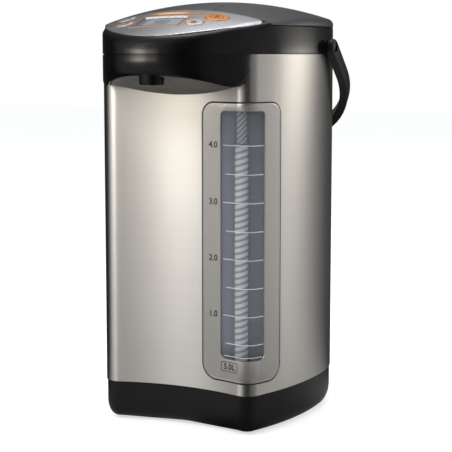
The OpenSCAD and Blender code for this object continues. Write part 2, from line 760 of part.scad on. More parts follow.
// Underside of the beak: a plane rising from the front face to the nose
module under_plane(offset_down) {
    translate([0, -front_depth, beak_root_z - offset_down]) rotate([-beak_slope, 0, 0])
        slab(-big, big, -big, big, -big, 0);
}
beak_back = front_depth + 11;
module beak_cover() {
    color("#232324") in_place() difference() {
        intersection() {
            prism(head_plan(0), beak_root_z - 5, shell_top);
            slab(-big, big, -big, -beak_back, 0, big);
        }
        prism(head_plan(skin_wall), 0, big);
        prism(shell_plan(-0.2), 0, big);
        under_plane(0);
    }
}
guard_t = 2.5;
guard_up = 1;
module spout_guard() {
    color("#3a3835") in_place() difference() {
        intersection() {
            prism(head_plan(skin_wall), beak_root_z - 5, shell_top);
            union() {
                slab(-big, big, -big, -beak_back, 0, big);
                slab(-body_r + 39, body_r - 39, -big, -front_depth + 1, 0, big);
            }
        }
        under_plane(-guard_up);
        difference() {
            slab(-big, big, -big, big, 0, big);
            under_plane(-guard_up - guard_t);
        }
        prism(shell_plan(0), 0, big);
        translate([nozzle_c[0], nozzle_c[1], 0]) cylinder(r = nozzle_r + fit_gap, h = big, $fn = 64);
    }
}
module vessel_gasket() { color("#d8d4cc") in_place() ring(flange_r, neck_r + 4, deck_z, deck_z + gasket_t); }
module mouth_ring() {
    color("#343436") in_place() difference() {
        union() {
            ring(mouth_out_r, mouth_r, mouth_z0, mouth_z1);
            ring(mouth_out_r, flange_r + fit_gap, deck_z, mouth_z0);
        }
        for (a = [45:90:315]) rotate([0, 0, a]) translate([mouth_out_r - 3, 0, deck_z - 1])
            cylinder(r = 1.5, h = 20, $fn = 32);
    }
}
module mouth_screws() {
    color("silver") in_place() for (a = [45:90:315]) rotate([0, 0, a])
        translate([mouth_out_r - 3, 0, deck_z]) union() {
            cylinder(r = 1.5, h = mouth_z1 - deck_z, $fn = 32);
            translate([0, 0, mouth_z1 - deck_z]) cylinder(r = 2.6, h = 1.4, $fn = 32);
        }
}

// Panel and keys ---------------------------------------------------------------
module key_shape(c, rx, ry, grow) { oval(c, rx, ry, grow); }
module all_keys(grow) {
    key_shape(key_dispense_c, 10.5, 9, grow);
    key_shape(key_unlock_c, 8, 7, grow);
    key_shape(key_timer_c, 8, 5, grow);
    key_shape(key_heat_c, 8, 5, grow);
}
module lens_shape(grow) {
    translate(lens_c) square(lens_size + 2 * [grow, grow], center = true);
}
module control_panel() {
    color("#c2c4ca") in_place() crown_layer(0, panel_t) upright(shell_top, crown_z) difference() {
        panel_region(lip + 0.15, -0.15);
        all_keys(key_gap);
        lens_shape(0);
    }
}
module display_lens() {
    color("#6a7480") in_place() crown_layer(0.2, panel_t) upright(shell_top, crown_z) lens_shape(0);
}
module on_board() { translate(board_c) rotate([board_tilt, 0, 0]) children(); }
board_half = [58, 19];
module panel_board() {
    color("darkgreen") in_place() union() {
        intersection() {
            on_board() slab(-board_half[0], board_half[0], -board_half[1], board_half[1], 0, board_t);
            prism(head_plan(skin_wall + 1), shell_top, crown_z);
        }
        // Standoffs down to the deck
        for (s = [-1, 1]) intersection() {
            translate([s * 44, board_c[1] + 9, deck_z]) cylinder(r = 3, h = 40, $fn = 32);
            on_board() slab(-big, big, -big, big, -60, board_t / 2);
        }
    }
}
module display_module() {
    color("#8f9a8a") in_place() intersection() {
        on_board() slab(lens_c[0] - 20, lens_c[0] + 20, -16, 7, board_t, 30);
        crown_body(panel_t + 0.05);
    }
}
key_list = [key_dispense_c, key_unlock_c, key_timer_c, key_heat_c];
module key_switches() {
    color("#303030") in_place() for (c = key_list) intersection() {
        upright(shell_top, crown_z) translate(c) circle(r = 3, $fn = 32);
        on_board() slab(-big, big, -big, big, board_t, 40);
        crown_body(key_t + key_travel + seat);
    }
}
module key_cap(c, rx, ry) {
    crown_layer(-key_proud, key_t) upright(shell_top, crown_z + 5) key_shape(c, rx, ry, 0);
}
module key_dispense() { color("#d8843c") in_place() key_cap(key_dispense_c, 10.5, 9); }
module key_unlock() { color("#c8cacd") in_place() key_cap(key_unlock_c, 8, 7); }
module key_timer() { color("#c8cacd") in_place() key_cap(key_timer_c, 8, 5); }
module key_heat() { color("#c8cacd") in_place() key_cap(key_heat_c, 8, 5); }

// Lid --------------------------------------------------------------------------
module lid_outline(inset) {
    intersection() {
        polygon(head_plan(inset));
        translate([-big, -lid_front + inset]) square([2 * big, big]);
    }
}
lid_z0 = rim_z + seat;
lid_plate_t = 2;
lid_drop_r = mouth_out_r + 3;
lid_low_z = mouth_z1 + 4;
vent_c = [0, 57];
vent_r = 14;
module lever_hole(grow, grow_back) {
    translate([-lever_half - grow, lever_y0 - grow])
        square([2 * (lever_half + grow), lever_y1 - lever_y0 + grow + grow_back]);
}
module lid_cover() {
    color("#4a4b50") in_place() difference() {
        union() {
            crown_layer(0, skin_wall) upright(lid_z0, crown_z) difference() {
                lid_outline(0);
                lever_hole(lever_gap, lever_back_gap);
                translate(vent_c) circle(r = vent_r, $fn = 64);
            }
            intersection() {
                upright(lid_z0, crown_z) difference() { lid_outline(0); lid_outline(skin_wall); }
                crown_body(0.05);
            }
            // Knuckle and its arm
            hinge_barrel(-knuckle_half, knuckle_half);
            difference() {
                slab(-knuckle_half, knuckle_half, body_r - 8.5, hinge_y, lid_z0, hinge_z + 3.5);
                upright(lid_z0 - 1, crown_z) lid_outline(skin_wall);
            }
            // Lugs that carry the lever's pin
            for (s = [-1, 1]) intersection() {
                slab(min(s * lug_x0, s * lug_x1), max(s * lug_x0, s * lug_x1), lever_axis[0] - 3,
                    lever_axis[0] + 3, lever_axis[1] - 3, crown_z);
                crown_body(1.2);
            }
        }
        x_rod(hinge_pin_r + pin_gap, -big, big, hinge_y, hinge_z);
        x_rod(1.5, -30, 30, lever_axis[0], lever_axis[1]);
    }
}
module lid_base() {
    color("#3c3d40") in_place() difference() {
        union() {
            intersection() {
                upright(lid_z0, lid_z0 + lid_plate_t) lid_outline(skin_wall + 0.05);
                crown_body(skin_wall + 0.05);
            }
            disc(lid_drop_r, lid_low_z, lid_z0 + 0.5);
        }
        disc(lid_drop_r - 3, lid_low_z + 2.5, lid_z0 + 10);
        translate([vent_c[0], vent_c[1], 0]) cylinder(r = 5.05, h = big, $fn = 48);
    }
}
inner_r = neck_r - 4;
module inner_lid() {
    color("#d0d0d0") in_place() difference() {
        disc(inner_r, mouth_z0 - 1, lid_low_z);
        disc(inner_r - 1, mouth_z0, lid_low_z + 1);
        translate([vent_c[0], vent_c[1] - 10, 0]) cylinder(r = 3, h = big, $fn = 48);
    }
}
module lid_gasket() { color("#d8d4cc") in_place() ring(mouth_r + 6, inner_r, mouth_z1 + seat, lid_low_z); }
module steam_vent() {
    color("#3a3b3f") in_place() difference() {
        crown_layer(-0.8, skin_wall) upright(shell_top, crown_z + 5) translate(vent_c) circle(r = vent_r, $fn = 64);
        for (i = [-2:2]) slab(vent_c[0] - 8, vent_c[0] + 8, vent_c[1] + i * 4 - 0.8, vent_c[1] + i * 4 + 0.8, 0, big);
    }
}
module steam_duct() {
    color("#b8b8b0") in_place() intersection() {
        translate([vent_c[0], vent_c[1], 0]) ring(5, 3.5, lid_low_z, crown_z);
        crown_body(skin_wall);
    }
}
module lid_lever() {
    color("#3a3b3f") in_place() difference() {
        union() {
            crown_layer(0, 2.2) upright(shell_top, crown_z) lever_hole(0, 0);
            for (s = [-1, 1]) intersection() {
                union() {
                    x_rod(2.4, min(s * 18, s * 23.5), max(s * 18, s * 23.5), lever_axis[0], lever_axis[1]);
                    slab(min(s * 18, s * 23.5), max(s * 18, s * 23.5), lever_axis[0] - 5,
                        lever_axis[0], lever_axis[1] - 1, crown_z);
                }
                crown_body(0.5);
            }
        }
        x_rod(1.5 + pin_gap, -30, 30, lever_axis[0], lever_axis[1]);
    }
}
module lever_pin() { color("silver") in_place() x_rod(1.5, -lug_x1, lug_x1, lever_axis[0], lever_axis[1]); }
module lever_spring() {
    color("#a8a8a8") in_place() difference() {
        x_rod(2.4, -6, 6, lever_axis[0], lever_axis[1]);
        x_rod(1.5, -7, 7, lever_axis[0], lever_axis[1]);
    }
}
module hinge_pin() {
    color("silver") in_place()
        x_rod(hinge_pin_r, -knuckle_half - ear_gap - ear_w, knuckle_half + ear_gap + ear_w, hinge_y, hinge_z);
}

// Bail -------------------------------------------------------------------------
module bail_flat(half_t) {
    difference() {
        union() {
            square_arms(bail_x + half_t);
            translate([0, bail_straight]) circle(r = bail_x + half_t, $fn = 160);
        }
        translate([0, bail_straight]) circle(r = bail_x - half_t, $fn = 160);
        translate([-bail_x + half_t, -big]) square([2 * (bail_x - half_t), big + bail_straight]);
        translate([-big, -2 * big]) square([2 * big, 2 * big]);
    }
}
module square_arms(x) { translate([-x, 0]) square([2 * x, bail_straight]); }
module bail_handle() {
    color("#2c2c2d") in_place() translate([0, 0, bail_pivot_z]) rotate([-bail_drop, 0, 0]) difference() {
        union() {
            translate([0, 0, -bail_w / 2]) linear_extrude(bail_w) bail_flat(bail_t / 2);
            for (s = [-1, 1]) translate([s * bail_x - bail_t / 2, 0, 0]) rotate([0, 90, 0])
                cylinder(r = bail_w / 2, h = bail_t, $fn = 64);
        }
        x_rod(bail_pin_r + pin_gap, -big, big, 0, 0);
    }
}
module bail_pins() {
    color("#1e1e1e") in_place() for (s = [-1, 1]) translate([0, 0, bail_pivot_z]) rotate([0, s * 90, 0])
        translate([0, 0, body_r - 12]) cylinder(r = bail_pin_r, h = 12 + bail_gap + bail_t, $fn = 64);
}

base_housing();
bottom_plate();
rubber_feet();
base_screws();
power_inlet();
inlet_pins();
power_board();
board_parts();
motor_case();
motor_magnet();
pump_housing();
pump_cover();
impeller();
inlet_hose();
outlet_hose();
vessel_stand();
heater();
heater_clamp();
thermistor();
vessel_inner();
vessel_outer();
steel_shell();
window_frame();
window_glass();
gauge_back();
level_tube();
tube_water();
tube_seals();
top_hose();
tip_valve();
nozzle();
upper_body();
deck_plate();
beak_cover();
spout_guard();
vessel_gasket();
mouth_ring();
mouth_screws();
control_panel();
display_lens();
display_module();
panel_board();
key_switches();
key_dispense();
key_unlock();
key_timer();
key_heat();
lid_cover();
lid_base();
inner_lid();
lid_gasket();
steam_vent();
steam_duct();
lid_lever();
lever_pin();
lever_spring();
hinge_pin();
bail_handle();
bail_pins();
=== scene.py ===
# %% [markdown]
# # An electric thermo pot, dressed and lit
# The solids of the pot come from a CAD model and are loaded as a fixed frame.
# This lesson builds the visible skins round that frame: the spout head, the
# silver panel with its keys, the lid, the bail, the level window and the
# brushed steel wall, and then lights them like goods on a studio table.

# %% Load the frame
import json
import math

import bmesh
import bpy
from mathutils import Matrix, Vector


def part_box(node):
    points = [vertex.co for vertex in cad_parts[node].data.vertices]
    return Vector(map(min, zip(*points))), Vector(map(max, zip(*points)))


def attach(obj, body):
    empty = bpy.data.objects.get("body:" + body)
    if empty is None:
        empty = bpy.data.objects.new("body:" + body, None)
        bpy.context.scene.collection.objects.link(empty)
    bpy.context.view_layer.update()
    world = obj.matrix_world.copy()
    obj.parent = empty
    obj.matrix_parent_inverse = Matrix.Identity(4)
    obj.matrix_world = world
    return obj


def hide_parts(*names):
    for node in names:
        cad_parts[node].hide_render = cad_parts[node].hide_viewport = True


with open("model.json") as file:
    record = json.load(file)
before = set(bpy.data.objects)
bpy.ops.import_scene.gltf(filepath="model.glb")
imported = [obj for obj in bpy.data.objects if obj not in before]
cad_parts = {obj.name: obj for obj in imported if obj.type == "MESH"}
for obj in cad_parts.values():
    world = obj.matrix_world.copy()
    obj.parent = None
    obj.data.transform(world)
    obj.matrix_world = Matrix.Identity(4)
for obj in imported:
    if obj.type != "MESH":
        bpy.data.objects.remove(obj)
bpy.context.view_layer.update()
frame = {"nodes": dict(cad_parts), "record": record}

# %% [markdown]
# ## One drawing board for all pieces
# The CAD frame is in metres. The pot's own drawings are easier to read in
# millimetres, with the vessel's axis at x = 0, y = 0 and the front at -Y. The
# vessel's box gives the axis, so each piece is drawn in millimetres round the
# axis and moved to the frame once, when it is finished.

# %% Axis of the vessel
low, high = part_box("vessel_inner")
axis_y = (low.y + high.y) / 2
print("axis of the vessel at y =", round(axis_y, 4))

# %% Sizes of the body
# Radii of the round back, the sides, the hollow front and its two corners
body_r, side_r, hollow_r, corner_r = 101.0, 250.0, 196.0, 14.5
# How far the hollow front and the nose of the head lie in front of the axis
front_depth, nose_y = 105.0, 173.0
shell_top, rim_z = 340.0, 365.0
nozzle_at = (0, -159.1)
side_cx = side_r - body_r
side_c, corner_c = Vector((-side_cx, 0)), Vector((63.99, -100.47))
hollow_c = Vector((0, -front_depth - hollow_r))
nose_r = (side_r**2 - side_cx**2 - nose_y**2) / (2 * (side_r - nose_y))
nose_c = Vector((0, nose_r - nose_y))
nose_a = math.atan2(nose_c.y, side_cx)
nose_turn = 90 + math.degrees(nose_a)
print("radius of the nose:", round(nose_r, 2), "mm")

# %% Helpers: what is done to a whole drawing
def move(bm, vec, verts=None):
    bmesh.ops.translate(bm, vec=vec, verts=verts or bm.verts)


def resize(bm, vec, verts=None):
    bmesh.ops.scale(bm, vec=vec, verts=verts or bm.verts)


def turn_about(bm, axis, angle):
    bmesh.ops.rotate(bm, cent=(0, 0, 0), matrix=Matrix.Rotation(angle, 3, axis), verts=bm.verts)


def weld(bm, dist=0.01):
    bmesh.ops.remove_doubles(bm, verts=bm.verts, dist=dist)


def face_outwards(bm):
    bmesh.ops.recalc_face_normals(bm, faces=bm.faces)


# %% [markdown]
# ## Outlines from spun vertices
# Seen from above, the pot is made of arcs that run into each other without a
# kink. Spinning a vertex about each arc's centre in turn draws them exactly,
# and a mirror gives the other side. Drawing them point by point would work
# too, but the spins say what the shape is: a centre and an angle per arc.

# %% Helpers: wires of arcs
def arc_wire(bm, start, arcs):
    """Spins a vertex about each (centre, degrees, steps) and returns the chain."""
    chain = [bm.verts.new(start)]
    for centre, degrees, steps in arcs:
        before = len(bm.verts)
        bmesh.ops.spin(bm, geom=[chain[-1]], cent=(*centre, start[2]), axis=(0, 0, 1),
                       angle=math.radians(degrees), steps=steps)
        chain += bm.verts[before:]
    return chain


def add_mirror_half(bm):
    """Mirrors a half drawing across the middle and joins the two."""
    bmesh.ops.mirror(bm, geom=bm.verts[:] + bm.edges[:], axis="X", merge_dist=0.01)
    weld(bm)


def head_outline(bm, inset=0.0, z=0.0):
    """The closed plan of the head and collar; its nose may start inset."""
    arc_wire(bm, (0, -nose_y + inset, z), [
        (nose_c, nose_turn, 28), (side_c, -math.degrees(nose_a), 18), ((0, 0), 90, 30)])
    add_mirror_half(bm)


# %% Helpers: which way is outwards
def outward(x, y):
    """Unit direction out of the head's plan, and the distance to its edge."""
    ax, sx = abs(x), 1 if x >= 0 else -1
    if y >= 0:
        centre, radius = Vector((0, 0)), body_r
    elif math.atan2(y, ax + side_cx) > nose_a:
        centre, radius = Vector((-side_cx * sx, 0)), side_r
    else:
        centre, radius = nose_c, nose_r
    run = Vector((x, y)) - centre
    return run.normalized(), radius - run.length


def inset_to(co, inset, z):
    """A point moved square to the head's plan until it lies inset from the edge."""
    way, gap = outward(co.x, co.y)
    return Vector((co.x + way.x * (gap - inset), co.y + way.y * (gap - inset), z))


# %% Helpers: grow a wire level by level
def verts_of(geom):
    return [g for g in geom if isinstance(g, bmesh.types.BMVert)]


def grow(bm, edges, place):
    """Extrudes a wire and puts each new vertex where place() says."""
    out = bmesh.ops.extrude_edge_only(bm, edges=edges)["geom"]
    verts = set(verts_of(out))
    for v in verts:
        v.co = place(v.co.copy())
    return [g for g in out if isinstance(g, bmesh.types.BMEdge)
            and g.verts[0] in verts and g.verts[1] in verts]


def grow_levels(bm, ring, levels):
    """Grows a wire of the head's plan through levels, each an inset and a height."""
    for inset, z in levels:
        ring = grow(bm, ring, lambda co, i=inset, z=z: inset_to(co, i, z))
    return ring


def fill_outline(bm):
    bmesh.ops.contextual_create(bm, geom=bm.edges[:])


def quarter_turn(steps):
    """The angles of a quarter turn, from 0 on."""
    return [math.radians(90 * k / steps) for k in range(steps + 1)]


def extrude_by(bm, faces, vec):
    """Extrudes faces by a vector and returns what is new."""
    new = bmesh.ops.extrude_face_region(bm, geom=faces)["geom"]
    move(bm, vec, verts_of(new))
    return new


# %% [markdown]
# ## The crown
# The lid and the panel share one domed surface, a barrel that curves gently
# from front to back and a little more from side to side. A function of x and y
# gives its height, so any flat drawing can be laid on it. Flat faces are first
# cut into a grid with bisect_plane, since a face bends only at its edges.

# %% Helpers: height of the crown, and cuts
crown_z, crown_mid = 389.3, -3.8
crown_side, crown_long = 301.0, 402.0


def crown(x, y):
    drop = crown_long - math.sqrt(crown_long**2 - (y - crown_mid) ** 2)
    return crown_z - crown_side + math.sqrt((crown_side - drop) ** 2 - x * x)


def cut_away(bm, co, no, clear=True):
    """Cuts along a plane; what lies on the side that no points to may go."""
    bmesh.ops.bisect_plane(bm, geom=bm.verts[:] + bm.edges[:] + bm.faces[:], dist=1e-4,
                           plane_co=co, plane_no=no, clear_outer=clear)


def trim(bm, y, side):
    """Removes what lies before a depth, or behind it, as side is -1 or 1."""
    cut_away(bm, (0, y, 0), (0, side, 0))


def grid_cut(bm, step, axes=(0, 1)):
    """Cuts all faces along planes a step apart."""
    for axis in axes:
        span = [v.co[axis] for v in bm.verts]
        n = int(math.floor(min(span) / step)) + 1
        while n * step < max(span) - 1e-3:
            co, no = [0, 0, 0], [0, 0, 0]
            co[axis], no[axis] = n * step, 1
            cut_away(bm, co, no, clear=False)
            n += 1


# %% Helpers: sizes that change along a line, and the head's rounded top
def between(sizes, at, ease=lambda t: t):
    """The size at a place, from a list of (place, size) pairs."""
    for (x0, s0), (x1, s1) in zip(sizes, sizes[1:]):
        if at <= x1:
            return s0 + (s1 - s0) * ease(min(1.0, max(0.0, (at - x0) / (x1 - x0))))
    return sizes[-1][1]


# Radius of the head's rounded shoulder at some depths
shoulder_sizes = [(-173, 8.2), (-158, 6.5), (-146, 4.4), (-128, 4.6), (-113, 7), (-102, 7),
                  (-92.5, 2.3)]


def shoulder_r(y):
    return between(shoulder_sizes, y, lambda t: t * t * (3 - 2 * t))


def head_top(x, y):
    """Height of the head: the crown, rounded off near the edge of the plan."""
    r, gap = shoulder_r(y), max(0.0, outward(x, y)[1])
    drop = r - math.sqrt(r * r - (r - gap) ** 2) if gap < r else 0.0
    return crown(x, y) - drop


# %% [markdown]
# ## From a drawing to a piece
# piece() moves a finished drawing from millimetres into the frame, gives it a
# material, and ties it to the CAD body that it moves with. finish_mesh() turns
# modifiers into mesh. soften() marks each edge that is sharper than an angle,
# so that the rest is shaded smooth.

# %% Helpers: from a drawing to an object
MM = 0.001
place_in_frame = Matrix.Translation((0, axis_y, 0)) @ Matrix.Scale(MM, 4)


def soften(mesh, degrees=32):
    bm = bmesh.new()
    bm.from_mesh(mesh)
    for f in bm.faces:
        f.smooth = True
    for e in bm.edges:
        e.smooth = len(e.link_faces) != 2 or e.calc_face_angle(0) < math.radians(degrees)
    bm.to_mesh(mesh)
    bm.free()


def into_frame(bm):
    """Turns the faces outwards and moves a drawing to its place."""
    face_outwards(bm)
    bmesh.ops.transform(bm, matrix=place_in_frame, verts=bm.verts)


def to_object(name, bm):
    mesh = bpy.data.meshes.new(name)
    bm.to_mesh(mesh)
    bm.free()
    obj = bpy.data.objects.new(name, mesh)
    bpy.context.scene.collection.objects.link(obj)
    return obj


def dress(obj, slot, body, replaces, look=None):
    """Gives an object the finish of its slot or its own look, ties it to its body, and hides the
    nodes it replaces.
    """
    obj.data.materials.append(look or by_slot[slot])
    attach(obj, body)
    if replaces:
        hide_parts(*replaces)
    print(obj.name, "has", len(obj.data.polygons), "faces")
    return obj


def piece(name, bm, slot, body="pot", replaces=(), look=None):
    weld(bm, 0.004)
    into_frame(bm)
    obj = to_object(name, bm)
    soften(obj.data)
    return dress(obj, slot, body, replaces, look)


# %% Helpers: modifiers that end as mesh
def modifier(obj, kind, **values):
    m = obj.modifiers.new(kind.title(), kind)
    for key, value in values.items():
        setattr(m, key, value)


def finish_mesh(obj):
    """Bakes the modifiers into the mesh and shades it again."""
    graph = bpy.context.evaluated_depsgraph_get()
    mesh = bpy.data.meshes.new_from_object(obj.evaluated_get(graph))
    obj.modifiers.clear()
    obj.data = mesh
    soften(mesh)


def round_rims(obj, width, degrees, segments=2):
    """Rounds the edges that are sharper than an angle."""
    modifier(obj, "BEVEL", width=width * MM, segments=segments, limit_method="ANGLE",
             angle_limit=math.radians(degrees), use_clamp_overlap=True)


def wall(obj, thickness, bevel=0.0, offset=-1.0, even=True):
    """Gives a skin its thickness, and may round its sharp edges."""
    modifier(obj, "SOLIDIFY", thickness=thickness * MM, offset=offset, use_even_offset=even)
    if bevel:
        round_rims(obj, bevel, 40)
    finish_mesh(obj)


def carve(obj, bm):
    """Takes a drawn shape out of a piece."""
    into_frame(bm)
    tool = to_object("cutter", bm)
    modifier(obj, "BOOLEAN", operation="DIFFERENCE", object=tool, solver="EXACT")
    finish_mesh(obj)
    bpy.data.objects.remove(tool)


# %% Helpers: rods, blocks and joined drawings
def ease_edges(bm, geom, offset, segments=2, affect="EDGES", clamp=True):
    bmesh.ops.bevel(bm, geom=geom, offset=offset, offset_type="OFFSET", segments=segments,
                    profile=0.5, affect=affect, clamp_overlap=clamp, material=-1)


def sharp_edges(bm, degrees=40):
    return [e for e in bm.edges if len(e.link_faces) == 2
            and e.calc_face_angle(0) > math.radians(degrees)]


def column(radius, z0, z1, at=(0, 0), ease=0.3, steps=2, segments=48):
    """An upright rod; its ends are eased unless ease is 0."""
    bm = bmesh.new()
    bmesh.ops.create_cone(bm, cap_ends=True, segments=segments, radius1=radius,
                          radius2=radius, depth=z1 - z0)
    if ease:
        ends = [e for e in bm.edges if abs(e.verts[0].co.z - e.verts[1].co.z) < 0.01]
        ease_edges(bm, ends, ease, steps)
    move(bm, (*at, (z0 + z1) / 2))
    return bm


def rod(radius, x0, x1, y, z, ease=0.5):
    """A rod along X with eased ends."""
    half = (x1 - x0) / 2
    bm = column(radius, -half, half, ease=ease, steps=3)
    turn_about(bm, "Y", math.pi / 2)
    move(bm, (x0 + half, y, z))
    return bm


def box_of(x0, x1, y0, y1, z0, z1):
    """A plain box between six planes."""
    bm = bmesh.new()
    bmesh.ops.create_cube(bm, size=1)
    resize(bm, (x1 - x0, y1 - y0, z1 - z0))
    move(bm, ((x0 + x1) / 2, (y0 + y1) / 2, (z0 + z1) / 2))
    return bm


def block(*planes, ease=0.6):
    """A box with eased edges."""
    bm = box_of(*planes)
    ease_edges(bm, bm.edges[:], ease)
    return bm


def together(*parts):
    """Joins several drawings into one."""
    whole = bmesh.new()
    for bm in parts:
        mesh = bpy.data.meshes.new("part")
        bm.to_mesh(mesh)
        bm.free()
        whole.from_mesh(mesh)
        bpy.data.meshes.remove(mesh)
    return whole


# %% [markdown]
# ## Finishes
# Values that are the same all over are set on the shader's own sockets. A piece
# takes the finish of its material slot, unless it is given a look of its own.

# %% Helpers: nodes
def add_nodes(tree, *kinds):
    return [tree.nodes.new("ShaderNode" + kind) for kind in kinds]


def link(tree, a, out, b, into):
    tree.links.new(a.outputs[out], b.inputs[into])


def node_of(tree, kind):
    return next(n for n in tree.nodes if n.type == kind)


def new_material(name):
    mat = bpy.data.materials.new(name)
    mat.use_nodes = True
    return mat, mat.node_tree, node_of(mat.node_tree, "BSDF_PRINCIPLED")


def set_sockets(node, **values):
    for key, value in values.items():
        node.inputs[key.replace("_", " ")].default_value = value


def vary_roughness(tree, noise, shader, rough, contrast=(0, 1)):
    """Spreads a noise over a range of roughness."""
    spread, = add_nodes(tree, "MapRange")
    set_sockets(spread, From_Min=contrast[0], From_Max=contrast[1], To_Min=rough[0],
                To_Max=rough[1])
    link(tree, noise, "Fac", spread, "Value")
    link(tree, spread, "Result", shader, "Roughness")


# %% Helper: a finish
def finish(name, colour, other=None, rough=(0.3, 0.4), size=60.0, stretch=(1, 1, 1),
           grain=0.0, grain_size=900.0, contrast=(0.3, 0.7), **sockets):
    """A varied Principled finish; size is in patches per metre."""
    mat, tree, shader = new_material(name)
    coord, mapping, noise, ramp = add_nodes(tree, "TexCoord", "Mapping", "TexNoise", "ValToRGB")
    set_sockets(mapping, Scale=stretch)
    link(tree, coord, "Object", mapping, "Vector")
    set_sockets(noise, Scale=size, Detail=4)
    link(tree, mapping, "Vector", noise, "Vector")
    other = other or [c * 1.12 + 0.002 for c in colour]
    for stop, place, shade in zip(ramp.color_ramp.elements, contrast, (colour, other)):
        stop.position, stop.color = place, (*shade, 1)
    link(tree, noise, "Fac", ramp, "Fac")
    link(tree, ramp, "Color", shader, "Base Color")
    vary_roughness(tree, noise, shader, rough, contrast)
    if grain:
        fine, bump = add_nodes(tree, "TexNoise", "Bump")
        set_sockets(fine, Scale=grain_size, Detail=2)
        set_sockets(bump, Strength=grain, Distance=0.0002)
        link(tree, mapping, "Vector", fine, "Vector")
        link(tree, fine, "Fac", bump, "Height")
        link(tree, bump, "Normal", shader, "Normal")
    set_sockets(shader, **sockets)
    return mat


# %% Plastics, rubber and inner parts
# The record names a material slot for each CAD node; each slot has one finish
by_slot = {
    "black_plastic": finish("black plastic", (0.005, 0.005, 0.0053), rough=(0.34, 0.42),
                            grain=0.1, Specular_IOR_Level=0.36),
    "collar_plastic": finish("collar plastic", (0.002, 0.002, 0.0019), rough=(0.12, 0.15),
                             grain=0.012, Specular_IOR_Level=0.36),
    "lid_plastic": finish("lid plastic", (0.036, 0.037, 0.041), (0.041, 0.042, 0.046),
                          rough=(0.32, 0.38), size=500, grain=0.05),
    "guard_plastic": finish("guard plastic", (0.06, 0.054, 0.048), rough=(0.4, 0.5), grain=0.1),
    "rubber_black": finish("black rubber", (0.012, 0.012, 0.012), rough=(0.7, 0.8), grain=0.3),
    "silicone": finish("silicone", (0.62, 0.6, 0.56), rough=(0.45, 0.55), grain=0.1),
    "white_plastic": finish("white plastic", (0.66, 0.66, 0.62), rough=(0.4, 0.5), grain=0.1),
    "board_green": finish("circuit board", (0.01, 0.07, 0.03), size=200),
    "parts_dark": finish("dark parts", (0.03, 0.03, 0.035), rough=(0.4, 0.6), size=120),
    "mica": finish("mica", (0.5, 0.42, 0.27), (0.6, 0.52, 0.36), rough=(0.3, 0.5), size=90),
}
gloss_black = finish("glossy black plastic", (0.0014, 0.0013, 0.0012), rough=(0.1, 0.13),
                     size=25, Specular_IOR_Level=0.32)
print("plastics are ready")

# %% [markdown]
# ## Brushed steel
# The wall is steel that was brushed round the pot, so its fine lines lie level.
# Each line scatters light up and down but hardly sideways, which stretches
# every reflection into an upright band. The Principled shader does this with
# Anisotropic and a tangent that runs round the upright axis. A noise squeezed
# in height adds the lines themselves to colour, roughness and bump.

# %% Metals
steel = finish("brushed steel", (0.635, 0.615, 0.585), (0.665, 0.645, 0.615),
               rough=(0.36, 0.42), size=7.0, stretch=(1, 1, 400), grain=0.02, grain_size=22.0,
               contrast=(0.32, 0.68), Metallic=1.0, Anisotropic=0.9, Anisotropic_Rotation=0.25)
tangent, = add_nodes(steel.node_tree, "Tangent")
tangent.direction_type, tangent.axis = "RADIAL", "Z"
link(steel.node_tree, tangent, "Tangent", node_of(steel.node_tree, "BSDF_PRINCIPLED"), "Tangent")
by_slot |= {
    "brushed_shell": steel,
    "frame_metallic": finish("frame paint", (0.50, 0.48, 0.45), (0.56, 0.54, 0.51),
                             rough=(0.3, 0.36), size=700, grain=0.05, Metallic=0.75),
    "steel_polished": finish("polished steel", (0.65, 0.64, 0.62), rough=(0.12, 0.2), size=40,
                             Metallic=1.0),
    "steel_plain": finish("plain steel", (0.5, 0.5, 0.49), size=90, Metallic=1.0),
    "brass_contact": finish("brass", (0.65, 0.45, 0.15), rough=(0.25, 0.35), size=90,
                            Metallic=1.0),
    "panel_silver": finish("panel silver", (0.6, 0.605, 0.63), (0.615, 0.62, 0.645),
                           rough=(0.23, 0.26), size=500, Metallic=0.88),
    "key_orange": finish("orange print", (0.60, 0.22, 0.045), (0.66, 0.26, 0.06),
                         rough=(0.26, 0.34), size=300, Metallic=0.55),
    "key_silver": finish("key silver", (0.5, 0.51, 0.53), rough=(0.22, 0.27), size=400,
                         Metallic=0.6),
}
bead_metal = finish("bead metal", (0.72, 0.71, 0.69), rough=(0.2, 0.26), size=80, Metallic=0.95)
orange_pale = finish("pale orange print", (0.86, 0.52, 0.24), (0.92, 0.6, 0.32),
                     rough=(0.26, 0.34), size=120, Metallic=0.4)
print("metals are ready")

# %% [markdown]
# ## Clear parts and the water
# The window and the level tube are clear plastic. A refractive glass would
# darken what lies behind it, so they are thin coats with a low Alpha: mostly
# see-through, with a full reflection. The water column shows slanted stripes,
# as if it magnified a striped strip behind the tube.

# %% Clear finishes
by_slot |= {
    "clear_glass": finish("window glass", (0.12, 0.125, 0.14), rough=(0.04, 0.07), size=20,
                          Alpha=0.12),
    "clear_tube": finish("clear tube", (0.75, 0.78, 0.8), rough=(0.05, 0.1), Alpha=0.12),
    "gauge_grey": finish("gauge plate", (0.47, 0.49, 0.57), (0.49, 0.51, 0.59),
                         rough=(0.5, 0.6), size=30),
    "display_grey": finish("display face", (0.16, 0.18, 0.21), (0.19, 0.21, 0.24),
                           rough=(0.35, 0.45), size=50),
}
display_glass = finish("display glass", (0.1, 0.11, 0.12), rough=(0.08, 0.12), size=40, Alpha=0.2)
stripes_face = math.radians(24.4)


